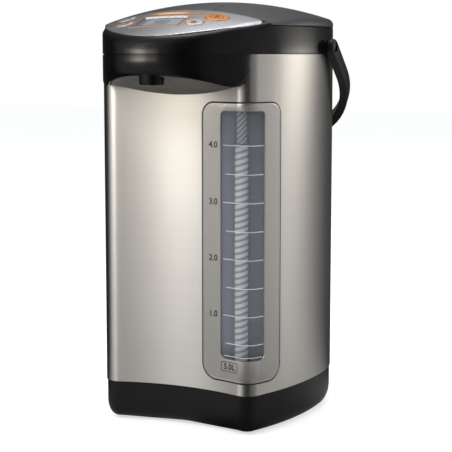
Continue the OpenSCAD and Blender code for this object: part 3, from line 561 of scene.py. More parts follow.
def striped(name, light, dark, pitch, slope, share=0.5):
    """Slanted stripes on Object coordinates, a pitch apart in height."""
    mat, tree, shader = new_material(name)
    coord, dot, wave, ramp, noise = add_nodes(tree, "TexCoord", "VectorMath", "Math", "ValToRGB",
                                              "TexNoise")
    dot.operation, wave.operation = "DOT_PRODUCT", "FRACT"
    across = Vector((math.cos(stripes_face), math.sin(stripes_face), 0)) * slope
    dot.inputs[1].default_value = (-across.x / pitch, -across.y / pitch, 1 / pitch)
    link(tree, coord, "Object", dot, 0)
    link(tree, dot, "Value", wave, 0)
    stops = ramp.color_ramp.elements
    for stop, place, shade in zip(stops, (share - 0.1, share + 0.1), (dark, light)):
        stop.color, stop.position = (*shade, 1), place
    for place, shade in ((0.98, light), (1.0, dark)):
        stops.new(place).color = (*shade, 1)
    link(tree, wave, "Value", ramp, "Fac")
    link(tree, ramp, "Color", shader, "Base Color")
    set_sockets(noise, Scale=80)
    link(tree, coord, "Object", noise, "Vector")
    vary_roughness(tree, noise, shader, (0.25, 0.35))
    return mat


# The water's stripes are painted: they stand for the strip behind the tube as the water would
# magnify it
by_slot["water"] = striped("water in the tube", (0.93, 0.95, 0.96), (0.36, 0.39, 0.42), 0.0056,
                           0.3, 0.42)
stripe_strip = striped("striped strip", (0.62, 0.65, 0.68), (0.26, 0.27, 0.30), 0.0048, 1.0)
print("clear finishes are ready")

# %% [markdown]
# ## Spout head and collar
# The black upper body has an upright wall all round. In front it turns over a
# broad shoulder into the crown and meets the silver panel; behind it ends in
# a level rim that carries the lid. The same closed outline is grown level by
# level for either part, each is cut where the head ends, and Solidify makes
# the wall. Beside the panel the head shows as a black border, which is widest
# next to the nose and thins to a lip along the sides.

# %% Width of the black border round the panel
head_end, lip = 92.5, 2.8
# Half width of the head and the width of the border there
border_sizes = [(0, 7.4), (20, 7.8), (35, 8.1), (42, 7.8), (48, 7.1), (53, 6.1), (57, 5.2),
                (60, 4.4), (63, 3.5), (66, 3.0), (70, lip)]


def border(x, y):
    """Inward distance from the head's edge to the panel's edge."""
    way, gap = outward(x, y)
    return between(border_sizes, abs(x + way.x * gap))


print("border at the nose:", round(border(0, -nose_y), 2), "mm")

# %% Helper: a wall that starts at the parting line
seam_in, seam_gap, seam_round = 0.3, 0.25, 0.6


def from_seam(bm, sign):
    """Starts a wall at the parting line, upwards or downwards by the sign."""
    head_outline(bm, seam_in, shell_top + sign * seam_gap)
    return grow_levels(bm, bm.edges[:], [(0, shell_top + sign * seam_round)])


# %% The head in front of the lid
ledge_drop, ledge_width = 0.7, 5.5
head = bmesh.new()
ring = from_seam(head, 1)
for turn in quarter_turn(8):
    def shoulder(co, turn=turn):
        r = shoulder_r(co.y)
        inset = r * (1 - math.cos(turn))
        p = inset_to(co, inset, 0)
        sunk = min(ledge_drop, max(0.0, inset - border(co.x, co.y) - 0.3))
        p.z = crown(p.x, p.y) - r * (1 - math.sin(turn)) - sunk
        return p

    ring = grow(head, ring, shoulder)
for share in (0.06, 0.2, 0.35, 0.5, 0.7, 0.85, 1.0):
    def ledge(co, share=share):
        inset = max(border(co.x, co.y), shoulder_r(co.y)) + ledge_width * share
        p = inset_to(co, inset, 0)
        p.z = head_top(p.x, p.y) - ledge_drop
        return p

    ring = grow(head, ring, ledge)
trim(head, -head_end, 1)
face_outwards(head)
print("the head has", len(head.faces), "faces")

# %% The collar under the lid
collar = bmesh.new()
ring = from_seam(collar, 1)
grow_levels(collar, ring, [(0, rim_z - 0.8), (0.25, rim_z - 0.25), (0.8, rim_z)])
trim(collar, -head_end, -1)
face_outwards(collar)
upper = piece("head_and_collar", together(collar, head), "collar_plastic",
              replaces=["upper_body"])
wall(upper, 2.2, even=False)

# %% [markdown]
# ## Lower half of the spout head
# Under a fine parting line hangs a second moulding. Its lower edge rises in an
# arch towards the nose and rolls inwards, and its rear ends are rounded like
# two feet. The same outline is grown downwards, with a height that depends on
# how far forward a point lies.

# %% Helpers: the beak's lower edge
beak_slope, beak_front_z, beak_back = math.radians(14.8), 305, 116.0
foot_start, foot_length = -131, 15
roll_in, roll_up = 4.5, 9


def foot_share(y):
    """How far a point lies on a rear foot, from 0 at its start to 1 at its end."""
    return min(1.0, max(0.0, (y - foot_start) / foot_length))


def roll_share(y):
    """The roll at the lower edge gets slimmer towards the feet."""
    return 1 - 0.7 * foot_share(y)


def beak_arch(y):
    return beak_front_z + (-front_depth - y) * math.tan(beak_slope)


def beak_low(y):
    """The arch, with the ends lifted in a round for the feet."""
    return beak_arch(y) + foot_length * (1 - math.sqrt(1 - foot_share(y) ** 2))


# %% Beak
bm = bmesh.new()
ring = from_seam(bm, -1)
for turn in quarter_turn(8):
    def roll(co, turn=turn):
        share = roll_share(co.y)
        z = beak_low(co.y) + roll_up * share * (1 - math.sin(turn))
        return inset_to(co, roll_in * share * (1 - math.cos(turn)), z)

    ring = grow(bm, ring, roll)
for inset, up in ((0.9, 0.5), (1.3, 3.0)):
    ring = grow(bm, ring, lambda co, i=inset, u=up: inset_to(
        co, i + roll_in * roll_share(co.y), beak_low(co.y) + u))
trim(bm, -beak_back, 1)
beak = piece("beak", bm, "black_plastic", look=gloss_black, replaces=["beak_cover"])
wall(beak, 1.6, bevel=0.5)

# %% A lip behind the parting line, so that no light shows through it
lip_in, lip_half = 1.3, 2.5
bm = bmesh.new()
head_outline(bm, lip_in, shell_top - lip_half)
grow_levels(bm, bm.edges[:], [(lip_in, shell_top + lip_half)])
trim(bm, -beak_back, 1)
wall(piece("parting_lip", bm, "black_plastic", look=gloss_black), 0.8)

# %% [markdown]
# ## Pieces that the CAD model already has right
# Many solids need no new shape, only clean shading. A CAD node's mesh is loose
# triangles, so a copy is merged, its flat parts are dissolved, and its edges
# may be eased with a small bevel before it takes the node's place.

# %% Helper: a clean copy of a CAD node
def clean_copy(node, name, slot, body="pot", ease=0.0, flat=0.02, top=None):
    """Copies a node; a top, in millimetres, cuts off what stands above it."""
    bm = bmesh.new()
    bm.from_mesh(frame["nodes"][node].data)
    weld(bm, 1e-5)
    if flat:
        bmesh.ops.dissolve_limit(bm, angle_limit=math.radians(flat), verts=bm.verts,
                                 edges=bm.edges)
    if ease:
        ease_edges(bm, sharp_edges(bm), ease * MM)
    if top:
        cut_away(bm, (0, 0, top * MM), (0, 0, 1))
    obj = to_object(name, bm)
    soften(obj.data, 30)
    return dress(obj, slot, body, [node])


# %% Wall, base and inlet
clean_copy("steel_shell", "steel_wall", "brushed_shell")
# The wall's lower edge covers the base's lip, so the lip is cut off behind it
clean_copy("base_housing", "base_moulding", "black_plastic", flat=0, top=37.3)
clean_copy("power_inlet", "inlet_block", "black_plastic", ease=0.6)

# %% [markdown]
# ## Cove under the spout head
# A plate closes the spout head from below. It rises with the beak's edge towards
# the nose, and its rear edge runs along the hollow wall in a shallow sag.

# %% Cove plate
hollow_end = math.atan2(corner_c.y - hollow_c.y, corner_c.x)
cove_inset, cove_lift, nozzle_hole_r = 2.0, 1.2, 11.4
# Half width of the hollow front
hollow_half = 62
# The sag fades out over some millimetres from the wall, and rises at its ends
sag, sag_rise, sag_half, sag_reach = -1.6, 6.7, 64, 25
bm = bmesh.new()
front = arc_wire(bm, (0, -nose_y, 0), [(nose_c, nose_turn, 28), (side_c, 8.4, 8)])
for v in front:
    v.co = inset_to(v.co, cove_inset + roll_in * roll_share(v.co.y), 0)
rear = arc_wire(bm, (0, -front_depth - 0.3, 0), [
    (hollow_c, math.degrees(hollow_end) - 90, 20), (corner_c, 120 - math.degrees(hollow_end), 8)])
bm.edges.new((front[-1], rear[-1]))
add_mirror_half(bm)
fill_outline(bm)
grid_cut(bm, 4)
for v in bm.verts:
    wall_y = hollow_c.y + math.sqrt(hollow_r**2 - min(hollow_half, abs(v.co.x)) ** 2)
    near = max(0.0, 1 - max(0.0, wall_y - v.co.y) / sag_reach)
    v.co.z = (beak_arch(v.co.y) + cove_lift
              + (sag_rise * (v.co.x / sag_half) ** 2 + sag) * near**2)
cove = piece("cove_plate", bm, "guard_plastic", replaces=["spout_guard"])
wall(cove, 1.2, offset=0)
carve(cove, column(nozzle_hole_r, 300, 340, nozzle_at, ease=0, segments=64))

# %% [markdown]
# ## Control panel
# The silver panel is a thin plate that follows the crown. Its outline is the
# head's plan, moved in by the width of the border, and its rear tips are
# rounded by one more arc. The plate is drawn flat, cut into a grid, laid on
# the head's top, and given a thickness. Holes for the display and the keys
# are taken out with a Boolean.

# %% Helper: a block that follows the crown
def crown_block(cx, cy, w, d, r, bottom, top, step=3.0, ease=0.0):
    """A rounded block in plan whose top and bottom follow the crown."""
    bm = bmesh.new()
    bmesh.ops.create_cube(bm, size=1)
    resize(bm, (w, d, 1))
    upright = [e for e in bm.edges if abs(e.verts[0].co.z - e.verts[1].co.z) > 0.5]
    if r:
        ease_edges(bm, upright, r, 6, clamp=False)
        weld(bm)
    if ease:
        rim = [e for e in bm.edges if min(v.co.z for v in e.verts) > 0.4]
        resize(bm, (1, 1, top - bottom))
        ease_edges(bm, rim, ease, 3)
        resize(bm, (1, 1, 1 / (top - bottom)))
    move(bm, (cx, cy, 0))
    if step:
        grid_cut(bm, step)
    for v in bm.verts:
        v.co.z = crown(v.co.x, v.co.y) + bottom + (v.co.z + 0.5) * (top - bottom)
    return bm


# %% Helper: an oval cap that follows the crown
def oval_cap(cx, cy, w, d, levels, closed=True):
    """Grows an oval through levels, each an inset and a height over the crown."""
    half = (w - d) / 2
    bm = bmesh.new()
    bmesh.ops.create_circle(bm, segments=64, radius=d / 2)
    for v in bm.verts:
        v.co.x += half * (0 if abs(v.co.x) < 0.01 else math.copysign(1, v.co.x))

    def place(co, inset, height):
        spine = Vector((min(half, max(-half, co.x)), 0, 0))
        way = Vector((co.x, co.y, 0)) - spine
        p = spine + way.normalized() * (d / 2 - inset)
        p.z = crown(p.x + cx, p.y + cy) + height
        return p

    for v in bm.verts:
        v.co = place(v.co, *levels[0])
    first = ring = bm.edges[:]
    for level in levels[1:]:
        ring = grow(bm, ring, lambda co, level=level: place(co, *level))
    if closed:
        for loop in (first, ring):
            bmesh.ops.contextual_create(bm, geom=loop)
    else:
        bmesh.ops.bridge_loops(bm, edges=first + ring)
    move(bm, (cx, cy, 0))
    return bm


# %% Places of the keys and the display
# Centre, width and depth of each key
keys = {
    "dispense_key": (39.5, -111, 21, 18),
    "unlock_key": (27, -131, 16, 14),
    "timer_key": (-42, -129.5, 16, 10),
    "heat_key": (-50, -109.5, 16, 10),
}
lens_c = (-7, -128.5)
# The rear tips are rounded by an arc that touches the side and the rear edge
tip_r, rear_y = 6.0, -head_end - 0.9
tip_y = rear_y - tip_r
tip_c = Vector((math.sqrt((side_r - lip - tip_r) ** 2 - tip_y**2) - side_cx, tip_y))
side_to = math.degrees(math.atan2(tip_c.y, tip_c.x + side_cx))
print("the plate's tips lie at x =", round(tip_c.x, 1))

# %% The plate
bm = bmesh.new()
chain = arc_wire(bm, (0, -nose_y, 0), [
    (nose_c, nose_turn, 60), (side_c, side_to - math.degrees(nose_a), 16)])
for v in chain:
    v.co = inset_to(v.co, border(v.co.x, v.co.y), 0)
bmesh.ops.spin(bm, geom=[chain[-1]], cent=(*tip_c, 0), axis=(0, 0, 1),
               angle=math.radians(90 - side_to), steps=14)
add_mirror_half(bm)
bm.edges.new(sorted(bm.verts, key=lambda v: -v.co.y)[:2])
fill_outline(bm)
grid_cut(bm, 2.5)
for v in bm.verts:
    v.co.z = head_top(v.co.x, v.co.y) + 0.25
panel = piece("control_panel_plate", bm, "panel_silver",
              replaces=["control_panel"])
wall(panel, 1.6)
for sizes in keys.values():
    carve(panel, oval_cap(*sizes, [(-0.4, -4), (-0.4, 4)]))
carve(panel, crown_block(*lens_c, 45, 25, 2, -4, 4, step=0))
round_rims(panel, 0.18, 45)
finish_mesh(panel)

# %% [markdown]
# ## Wall under the panel's rear edge
# When the lid is up, the inside of the head would show from behind, so a thin
# wall stands under the panel's rear edge, just in front of the lid.

# %% Rear wall of the head
rear_wall = crown_block(0, rear_y - 1.8, 161, 1.6, 0.4, -42, -1.6, step=6)
piece("head_rear_wall", rear_wall, "black_plastic")

# %% [markdown]
# ## Keys
# Each key is an oval cap that stands a little proud of the panel in its own
# hole and rides on its own CAD body, so that it can be pressed. The cap's
# outline is grown over a rounded rim; small raised signs tell the keys apart.

# %% Key caps
def key_slot(name):
    return "key_orange" if name == "dispense_key" else "key_silver"


cap_levels = [(0, -2.2), (0, 0.15), (0.1, 0.45), (0.35, 0.68), (0.75, 0.78), (1.6, 0.8),
              (3.0, 0.74), (4.4, 0.7)]
for name, sizes in keys.items():
    piece(name + "_cap", oval_cap(*sizes, cap_levels), key_slot(name), body=name,
          replaces=["key_" + name.split("_")[0]])

# %% [markdown]
# ## Prints on the panel
# Orange prints group the keys: a lens above the display, a frame round it, and
# rings round the keys. A print is a thin solid that stands a tenth of a
# millimetre proud, so it is drawn flat, cut into a grid and laid on the panel.

# %% Helpers: flat frames
def round_rect(bm, x0, x1, y0, y1, r, r_low=None, out=0.0):
    """The outline of a rectangle with round corners; returns its edges."""
    before = set(bm.edges)
    grid = bmesh.ops.create_grid(bm, x_segments=1, y_segments=1, size=0.5)["verts"]
    resize(bm, (x1 - x0, y1 - y0, 1), grid)
    move(bm, ((x0 + x1) / 2, (y0 + y1) / 2, out), grid)
    lows = [v for v in grid if v.co.y < (y0 + y1) / 2]
    highs = [v for v in grid if v.co.y > (y0 + y1) / 2]
    for verts, radius in ((lows, r_low or r), (highs, r)):
        ease_edges(bm, verts, radius, 8, affect="VERTICES")
    new = [e for e in bm.edges if e not in before]
    faces = {f for e in new for f in e.link_faces}
    bmesh.ops.delete(bm, geom=list(faces), context="FACES_ONLY")
    return new


def flat_ring(outer, inner, top, bottom, ease=0.0):
    """A flat frame between two round rectangles; its edges may be eased."""
    bm = bmesh.new()
    rims = round_rect(bm, *outer, out=top) + round_rect(bm, *inner, out=top)
    bmesh.ops.bridge_loops(bm, edges=rims)
    extrude_by(bm, bm.faces[:], (0, 0, bottom - top))
    face_outwards(bm)
    if ease:
        ease_edges(bm, sharp_edges(bm), ease)
    return bm


# %% Helpers: prints
print_lift, print_thick = 0.27, 0.1


def lay_print(bm, height=print_lift):
    """Lays a flat drawing, with its own thickness in z, on the panel."""
    grid_cut(bm, 3.0)
    for v in bm.verts:
        v.co.z += head_top(v.co.x, v.co.y) + height
    return bm


def lens_print(x0, x1, y, front, back, height=print_lift):
    """A flat shape between two arcs that bulge to the front and to the back."""
    bm = bmesh.new()
    mid, half = (x0 + x1) / 2, (x1 - x0) / 2
    bmesh.ops.create_circle(bm, cap_ends=True, segments=72, radius=1)
    for v in bm.verts:
        bulge = front if v.co.y < 0 else back
        up = math.copysign(abs(v.co.y) ** 1.25, v.co.y)
        v.co = (mid + half * v.co.x, y + bulge * up, 0)
    extrude_by(bm, bm.faces[:], (0, 0, print_thick))
    return lay_print(bm, height)


def ribbon(points, width):
    """A flat line of some width along points, as a thin solid."""
    bm = bmesh.new()
    points = [Vector((*p, 0)) for p in points]
    chain = [bm.verts.new(p) for p in points]
    edges = [bm.edges.new(pair) for pair in zip(chain, chain[1:])]
    square = {}
    for i, p in enumerate(points):
        way = (points[min(i + 1, len(points) - 1)] - points[max(i - 1, 0)]).normalized()
        square[tuple(round(c, 3) for c in p)] = Vector((-way.y, way.x, 0))
    grow(bm, edges, lambda co: co + square[tuple(round(c, 3) for c in co)] * width)
    extrude_by(bm, bm.faces[:], (0, 0, print_thick))
    return lay_print(bm)


def key_ring(name, out, width):
    """A ring round a key, out from its edge."""
    high = print_lift + print_thick
    return oval_cap(*keys[name], [(-out - width, print_lift), (-out - width, high),
                                  (-out, high), (-out, print_lift)], closed=False)


# %% Orange prints
x, y = lens_c
frame_print = flat_ring((x - 26, x + 25.5, y - 15.6, y + 15, 3.2),
                        (x - 25.1, x + 24.6, y - 14.7, y + 14.1, 2.6), print_thick, 0.0)
timer_tail = [(-33.5, -116.5), (-36, -124), (-40, -131.5), (-46, -135.5), (-53, -133)]
orange_marks = together(
    lens_print(-33, 25, -104.5, 4.5, 3.2), lay_print(frame_print),
    key_ring("unlock_key", 1.3, 0.9), key_ring("timer_key", 1.0, 0.7),
    key_ring("heat_key", 1.0, 0.7), key_ring("dispense_key", 0.9, 0.7), ribbon(timer_tail, 0.9))
piece("panel_orange_prints", orange_marks, "key_orange")
piece("panel_pale_print", lens_print(-24, 10, -105.4, 3.0, 2.2, height=0.34), "key_orange",
      look=orange_pale)

# %% Helpers: signs
sign_lift, sign_thick = 0.78, 0.08


def sign(bm, name):
    """Puts a flat sign, drawn round 0, 0, on a key's cap."""
    cx, cy = keys[name][:2]
    for v in bm.verts:
        v.co.x, v.co.y = v.co.x + cx, v.co.y + cy
        v.co.z += crown(v.co.x, v.co.y) + sign_lift
    return bm


def flat_oval(w, d, hole=0.0):
    """A thin oval, or a thin ring where a hole is left."""
    bm = bmesh.new()
    bmesh.ops.create_circle(bm, cap_ends=not hole, segments=32, radius=1)
    resize(bm, (w / 2, d / 2, 1))
    if hole:
        grow(bm, bm.edges[:], lambda co: co * (1 - hole))
    extrude_by(bm, bm.faces[:], (0, 0, sign_thick))
    return bm


def flat_bar(x0, x1, y0, y1):
    return box_of(x0, x1, y0, y1, 0, sign_thick)


# %% Signs on the keys
sign_dark = finish("dark sign", (0.09, 0.04, 0.02), (0.11, 0.05, 0.025), rough=(0.35, 0.45),
                   size=200)
sign_grey = finish("grey sign", (0.05, 0.052, 0.06), rough=(0.35, 0.45), size=200)
cup = together(flat_oval(13, 9.5, hole=0.1), flat_oval(4.4, 3.4), flat_bar(-0.45, 0.45, 1.4, 4.0))
lock = together(flat_bar(-2.4, 2.4, -3.2, 0.4), flat_oval(3.8, 4.6, hole=0.22))
clock = together(flat_oval(6, 6, hole=0.16), flat_bar(-0.3, 0.3, 0, 2.2),
                 flat_bar(0, 1.7, -0.3, 0.3))
heat = together(*(flat_bar(k - 0.35, k + 0.35, -2.4, 2.4) for k in (-2, 0, 2)))
signs = {"dispense_key": cup, "unlock_key": lock, "timer_key": clock, "heat_key": heat}
for name, drawing in signs.items():
    piece(name + "_sign", sign(drawing, name), key_slot(name), body=name,
          look=sign_dark if name == "dispense_key" else sign_grey)

# %% [markdown]
# ## The lid
# The lid is a shallow dome with a rounded edge and a short skirt. Its top is a
# flat face cut into a grid and laid on the crown; its open edge is then grown
# over the rounding and down the skirt. A cut just behind the panel and a
# curtain from the cut give it its straight front.

# %% Lid skin
lid_front, lid_round, lid_foot = 92.1, 4.0, rim_z + 0.35
# The dome is first cut a little further forward, and trimmed when it is grown
spare = 8
bm = bmesh.new()
head_outline(bm, lid_round)
fill_outline(bm)
trim(bm, -lid_front - spare, -1)
grid_cut(bm, 6)
for v in bm.verts:
    v.co.z = crown(v.co.x, v.co.y)
ring = [e for e in bm.edges
        if e.is_boundary and max(v.co.y for v in e.verts) > -lid_front - spare + 0.01]
for turn in quarter_turn(7)[1:]:
    def edge(co, turn=turn):
        rim = inset_to(co, 0, 0)
        fall = min(lid_round, crown(rim.x, rim.y) - lid_foot - 0.6)
        p = inset_to(co, lid_round * (1 - math.sin(turn)), 0)
        p.z = crown(p.x, p.y) - fall * (1 - math.cos(turn))
        return p

    ring = grow(bm, ring, edge)
grow_levels(bm, ring, [(0, lid_foot + 0.5), (0.3, lid_foot), (2.4, lid_foot)])
trim(bm, -lid_front, -1)
front = [e for e in bm.edges if all(abs(v.co.y + lid_front) < 0.01 for v in e.verts)
         and min(v.co.z for v in e.verts) > lid_foot + 1]
grow(bm, front, lambda co: Vector((co.x, co.y, lid_foot)))
bmesh.ops.dissolve_degenerate(bm, dist=0.02, edges=bm.edges)
lid = piece("lid_dome", bm, "lid_plastic", body="lid", replaces=["lid_cover"])
wall(lid, 2.0, even=False)

# %% [markdown]
# The lid has a hole for its opening lever and one for the steam vent. The lever
# is a flap that follows the crown, with its own body; the vent is a round
# insert with slots. At the back the lid ends in a hinge knuckle.

# %% Lever and vent
flap_x, flap_y, flap_w, flap_d = 0, -75, 48, 26
vent_at, vent_hole_r = (0, 57), 14.2
carve(lid, crown_block(flap_x, flap_y + 0.35, flap_w + 1.6, flap_d + 2.3, 2.6, -7, 6, step=0))
carve(lid, column(vent_hole_r, 355, 415, vent_at, ease=0, segments=64))
round_rims(lid, 0.6, 50, segments=3)
finish_mesh(lid)
flap = crown_block(flap_x, flap_y, flap_w, flap_d, 2.0, -2.2, 0, step=4, ease=0.6)
piece("lever_flap", flap, "lid_plastic", body="lever", replaces=["lid_lever"])

# %% Hinge and the bail's bosses
hinge_y, hinge_z, hinge_r, pivot_z = 106.4, 366.0, 5, 347.0
knuckle = together(rod(hinge_r, -29.5, 29.5, hinge_y, hinge_z),
                   block(-29.2, 29.2, 96, hinge_y, 365.6, 369.4))
piece("lid_knuckle", knuckle, "lid_plastic", body="lid")
for side, sign_x in (("left", -1), ("right", 1)):
    x0, x1 = sorted((sign_x * 30, sign_x * 38))
    ear = together(rod(hinge_r, x0, x1, hinge_y, hinge_z),
                   block(x0, x1, 92, hinge_y, 357.5, 364.7))
    piece("hinge_ear_" + side, ear, "collar_plastic")
    boss = rod(7, *sorted((sign_x * 99, sign_x * 101.7)), 0, pivot_z, ease=0.4)
    piece("bail_boss_" + side, boss, "collar_plastic")
clean_copy("steam_vent", "vent_insert", "lid_plastic", body="lid")

# %% [markdown]
# ## The bail
# The bail is a flat strap bent to a U, hung on two pins. A rounded rectangle is
# spun half round for the bow; its ends are then extruded straight to the pivots
# and closed by a rounded eye. It hangs down behind, so the whole piece is
# turned about the pivots by the angle at which it rests on the back.

# %% Bail
bail_x, bail_t, bail_w, bail_run = 106.0, 8.0, 14.5, 37.5
rest_drop = math.radians(40.541)
bm = bmesh.new()
bmesh.ops.create_grid(bm, x_segments=1, y_segments=1, size=0.5)
resize(bm, (bail_t, bail_w, 1))
ease_edges(bm, bm.verts[:], 1.7, 5, affect="VERTICES")
# The section stands square to the strap: its width lies along Z, its thickness along X
turn_about(bm, "X", math.pi / 2)
move(bm, (bail_x, 0, 0))
run = extrude_by(bm, bm.faces[:], (0, bail_run, 0))
tip = [g for g in run if isinstance(g, bmesh.types.BMFace)]
bow = tip + [e for f in tip for e in f.edges] + [v for f in tip for v in f.verts]
spun = bmesh.ops.spin(bm, geom=bow, cent=(0, bail_run, 0), axis=(0, 0, 1), angle=math.pi, steps=64)
last = [g for g in spun["geom_last"] if isinstance(g, bmesh.types.BMFace)]
extrude_by(bm, last, (0, -bail_run, 0))
bmesh.ops.delete(bm, geom=[f for f in tip + last if f.is_valid], context="FACES_ONLY")
eyes = [rod(bail_w / 2, side * bail_x - bail_t / 2, side * bail_x + bail_t / 2, 0, 0, ease=2.2)
        for side in (-1, 1)]
bm = together(bm, *eyes)
turn_about(bm, "X", -rest_drop)
move(bm, (0, 0, pivot_z))
piece("bail_strap", bm, "black_plastic", body="bail", replaces=["bail_handle"])

# %% [markdown]
# ## The level window
# The window wraps round a tight corner. It is easier to draw it flat, with x as
# the distance along the wall and y as the height, and to bend the finished
# drawing round the corner. wrap() does the bend with the wall's own arcs.

# %% Helpers: bend a flat drawing round the corner
side_start = math.atan2(corner_c.y, corner_c.x + side_cx)
corner_start = hollow_r * (math.pi / 2 - hollow_end)
corner_stop = corner_start + corner_r * (side_start - (hollow_end - math.pi))


def wrap(s, out=0.0):
    """The place in plan that lies s along the wall from the middle of the front."""
    if s < corner_start:
        a, c, r = math.pi / 2 - s / hollow_r, hollow_c, hollow_r - out
    elif s < corner_stop:
        a, c, r = hollow_end - math.pi + (s - corner_start) / corner_r, corner_c, corner_r + out
    else:
        a, c, r = side_start + (s - corner_stop) / side_r, side_c, side_r + out
    return c.x + r * math.cos(a), c.y + r * math.sin(a)


def bend(bm):
    """Cuts the drawing into upright strips and wraps it."""
    grid_cut(bm, 1.5, axes=(0,))
    for v in bm.verts:
        x, y = wrap(v.co.x, v.co.z)
        v.co = (x, y, v.co.y)
    return bm


def along_front(x):
    """Distance along the wall of a point of the hollow front, from its x."""
    return hollow_r * (math.pi / 2 - math.acos(x / hollow_r))


def along_side(y):
    """Distance along the wall of a point of the side, from its y."""
    return corner_stop + side_r * (math.asin(y / side_r) - side_start)


# %% Frame, groove and bead
left, right, low_z, top_z = along_front(23.6), along_side(-81.5), 48.8, 297.4
g_left, g_right, g_low, g_top = along_front(42.2), along_side(-99.4), 68.5, 290.6
# Radii of the pane's corners, above and below
pane_r = (4.5, 5.5)
print("window runs from", round(left, 1), "to", round(right, 1), "mm along the wall")


def window_edge(out, r, r_low):
    """The window's outline, moved out by some millimetres."""
    return left - out, right + out, low_z - out, top_z + out, r, r_low


outer = window_edge(0.2, 11, 14)
bm = bend(flat_ring(outer, (g_left, g_right, g_low, g_top, *pane_r), 0.45, -1.6, 0.45))
piece("window_frame_plate", bm, "frame_metallic", replaces=["window_frame"])
bm = bend(flat_ring(window_edge(1.35, 12.1, 15.1), outer, 0.12, -0.4))
piece("window_frame_seal", bm, "rubber_black")
bm = bend(flat_ring(window_edge(-0.5, 10.6, 13.6), window_edge(-1.4, 9.8, 12.8), 0.62, 0.2, 0.18))
piece("window_frame_rim", bm, "frame_metallic", look=bead_metal)

# %% Pane
play, pane_out, pane_thick = 0.05, -0.35, 1.6
bm = bmesh.new()
round_rect(bm, g_left + play, g_right - play, g_low + play, g_top - play, *pane_r, out=pane_out)
fill_outline(bm)
extrude_by(bm, bm.faces[:], (0, 0, -pane_thick))
piece("window_pane", bend(bm), "clear_glass", replaces=["window_glass"])

# %% [markdown]
# ## Level tube and water
# A clear tube stands behind the pane, and the water in it shows how full the
# pot is. The water column is a hair thinner than the bore, so the two never
# share a surface. Where there is only air, a slanted pattern on a strip shows
# through the tube; under water no strip is drawn, and its magnified image is painted on the water
# column instead.

# %% Tube, water and strip
tube_at, tube_low, tube_high, water_top = (58.4, -99.96), 61.6, 302.0, 260.7
sleeve = piece("level_sleeve", column(6.5, tube_low, tube_high, tube_at), "clear_tube",
               replaces=["level_tube"])
carve(sleeve, column(6.25, tube_low - 3, tube_high + 3, tube_at))
piece("level_water", column(6.15, tube_low, water_top, tube_at), "water",
      replaces=["tube_water"])
piece("level_strip", column(4.6, water_top + 0.6, tube_high - 1, tube_at), "gauge_grey",
      look=stripe_strip)

# %% [markdown]
# ## Scale of the window
# The marks are thin bars on the glass, long ones for a litre and short ones for
# a half, and the numerals stand on the frame. Each is drawn flat and bent round
# like the window itself.

# %% Helper: lettering
def lettering(words, size, x, y, align):
    """Text as a thin flat solid in the plane of the drawing board."""
    font = bpy.data.curves.new(words, "FONT")
    font.body, font.size, font.align_x, font.align_y = words, size, align, "CENTER"
    font.extrude, font.offset, font.resolution_u = 0.025, 0.2, 4
    holder = bpy.data.objects.new(words, font)
    bpy.context.scene.collection.objects.link(holder)
    bpy.context.view_layer.update()
    mesh = bpy.data.meshes.new_from_object(holder)
    bm = bmesh.new()
    bm.from_mesh(mesh)
    bpy.data.objects.remove(holder)
    bpy.data.meshes.remove(mesh)
    move(bm, (x, y, 0.47))
    return bm


# %% Marks and numerals
print_white = finish("white print", (0.55, 0.56, 0.58), rough=(0.4, 0.5), size=200)
print_dark = finish("dark print", (0.03, 0.03, 0.032), rough=(0.4, 0.5), size=200)
litre, floor_z, half_mark = 50.7, 57.7, 0.36
in_pane = (-0.33, -0.27)
marks = []
for half in range(1, 9):
    z = floor_z + litre * half / 2
    start = g_left + (5.6 if half % 2 else 2.6)
    marks.append(box_of(start, g_right - 1.2, z - half_mark, z + half_mark, *in_pane))
marks.append(box_of(g_left + 3.6, g_right - 2.2, 71.3, 71.9, *in_pane))
piece("level_marks", bend(together(*marks)), "panel_silver", look=print_white)
numbers = [lettering(f"{n}.0", 7.6, g_left - 3.2, floor_z + litre * n, "RIGHT")
           for n in range(1, 5)]
piece("level_numbers", bend(together(*numbers)), "black_plastic", look=print_dark)
size_box = flat_ring((g_left + 0.8, g_left + 19.6, 57.2, 66.4, 2.2),
                     (g_left + 1.4, g_left + 19, 57.8, 65.8, 1.8), 0.49, 0.44)
size_box = together(size_box, lettering("5.0L", 7.4, g_left + 10.2, 61.7, "CENTER"))
piece("capacity_mark", bend(size_box), "black_plastic", look=print_dark)

# %% [markdown]
# ## The nozzle
# The outlet is a short turned tube under the beak: a flange, a body with a
# chamfered mouth, and a bore. A closed half section is drawn as a ring of
# vertices and spun full round, and use_merge joins the end to the start.

# %% Nozzle
section = [(4.2, 336), (4.2, 317), (5.6, 314.2), (6.4, 313.5), (9.5, 313.5), (10.3, 313.8),
           (10.7, 314.6), (10.7, 320.2), (11.0, 320.6), (11.1, 321.2), (11.1, 336)]
bm = bmesh.new()
chain = [bm.verts.new((r, 0, z)) for r, z in section]
edges = [bm.edges.new(pair) for pair in zip(chain, chain[1:] + chain[:1])]
bmesh.ops.spin(bm, geom=chain + edges, cent=(0, 0, 0), axis=(0, 0, 1), angle=2 * math.pi,
               steps=64, use_merge=True)
move(bm, (*nozzle_at, 0))
piece("outlet_tube", bm, "black_plastic", look=gloss_black, replaces=["nozzle"])

# %% [markdown]
# ## Display
# Under a clear cover lies a grey display with a lighter field and dark figures.
# The figures are plain seven-part digits, and each part is a small bar.

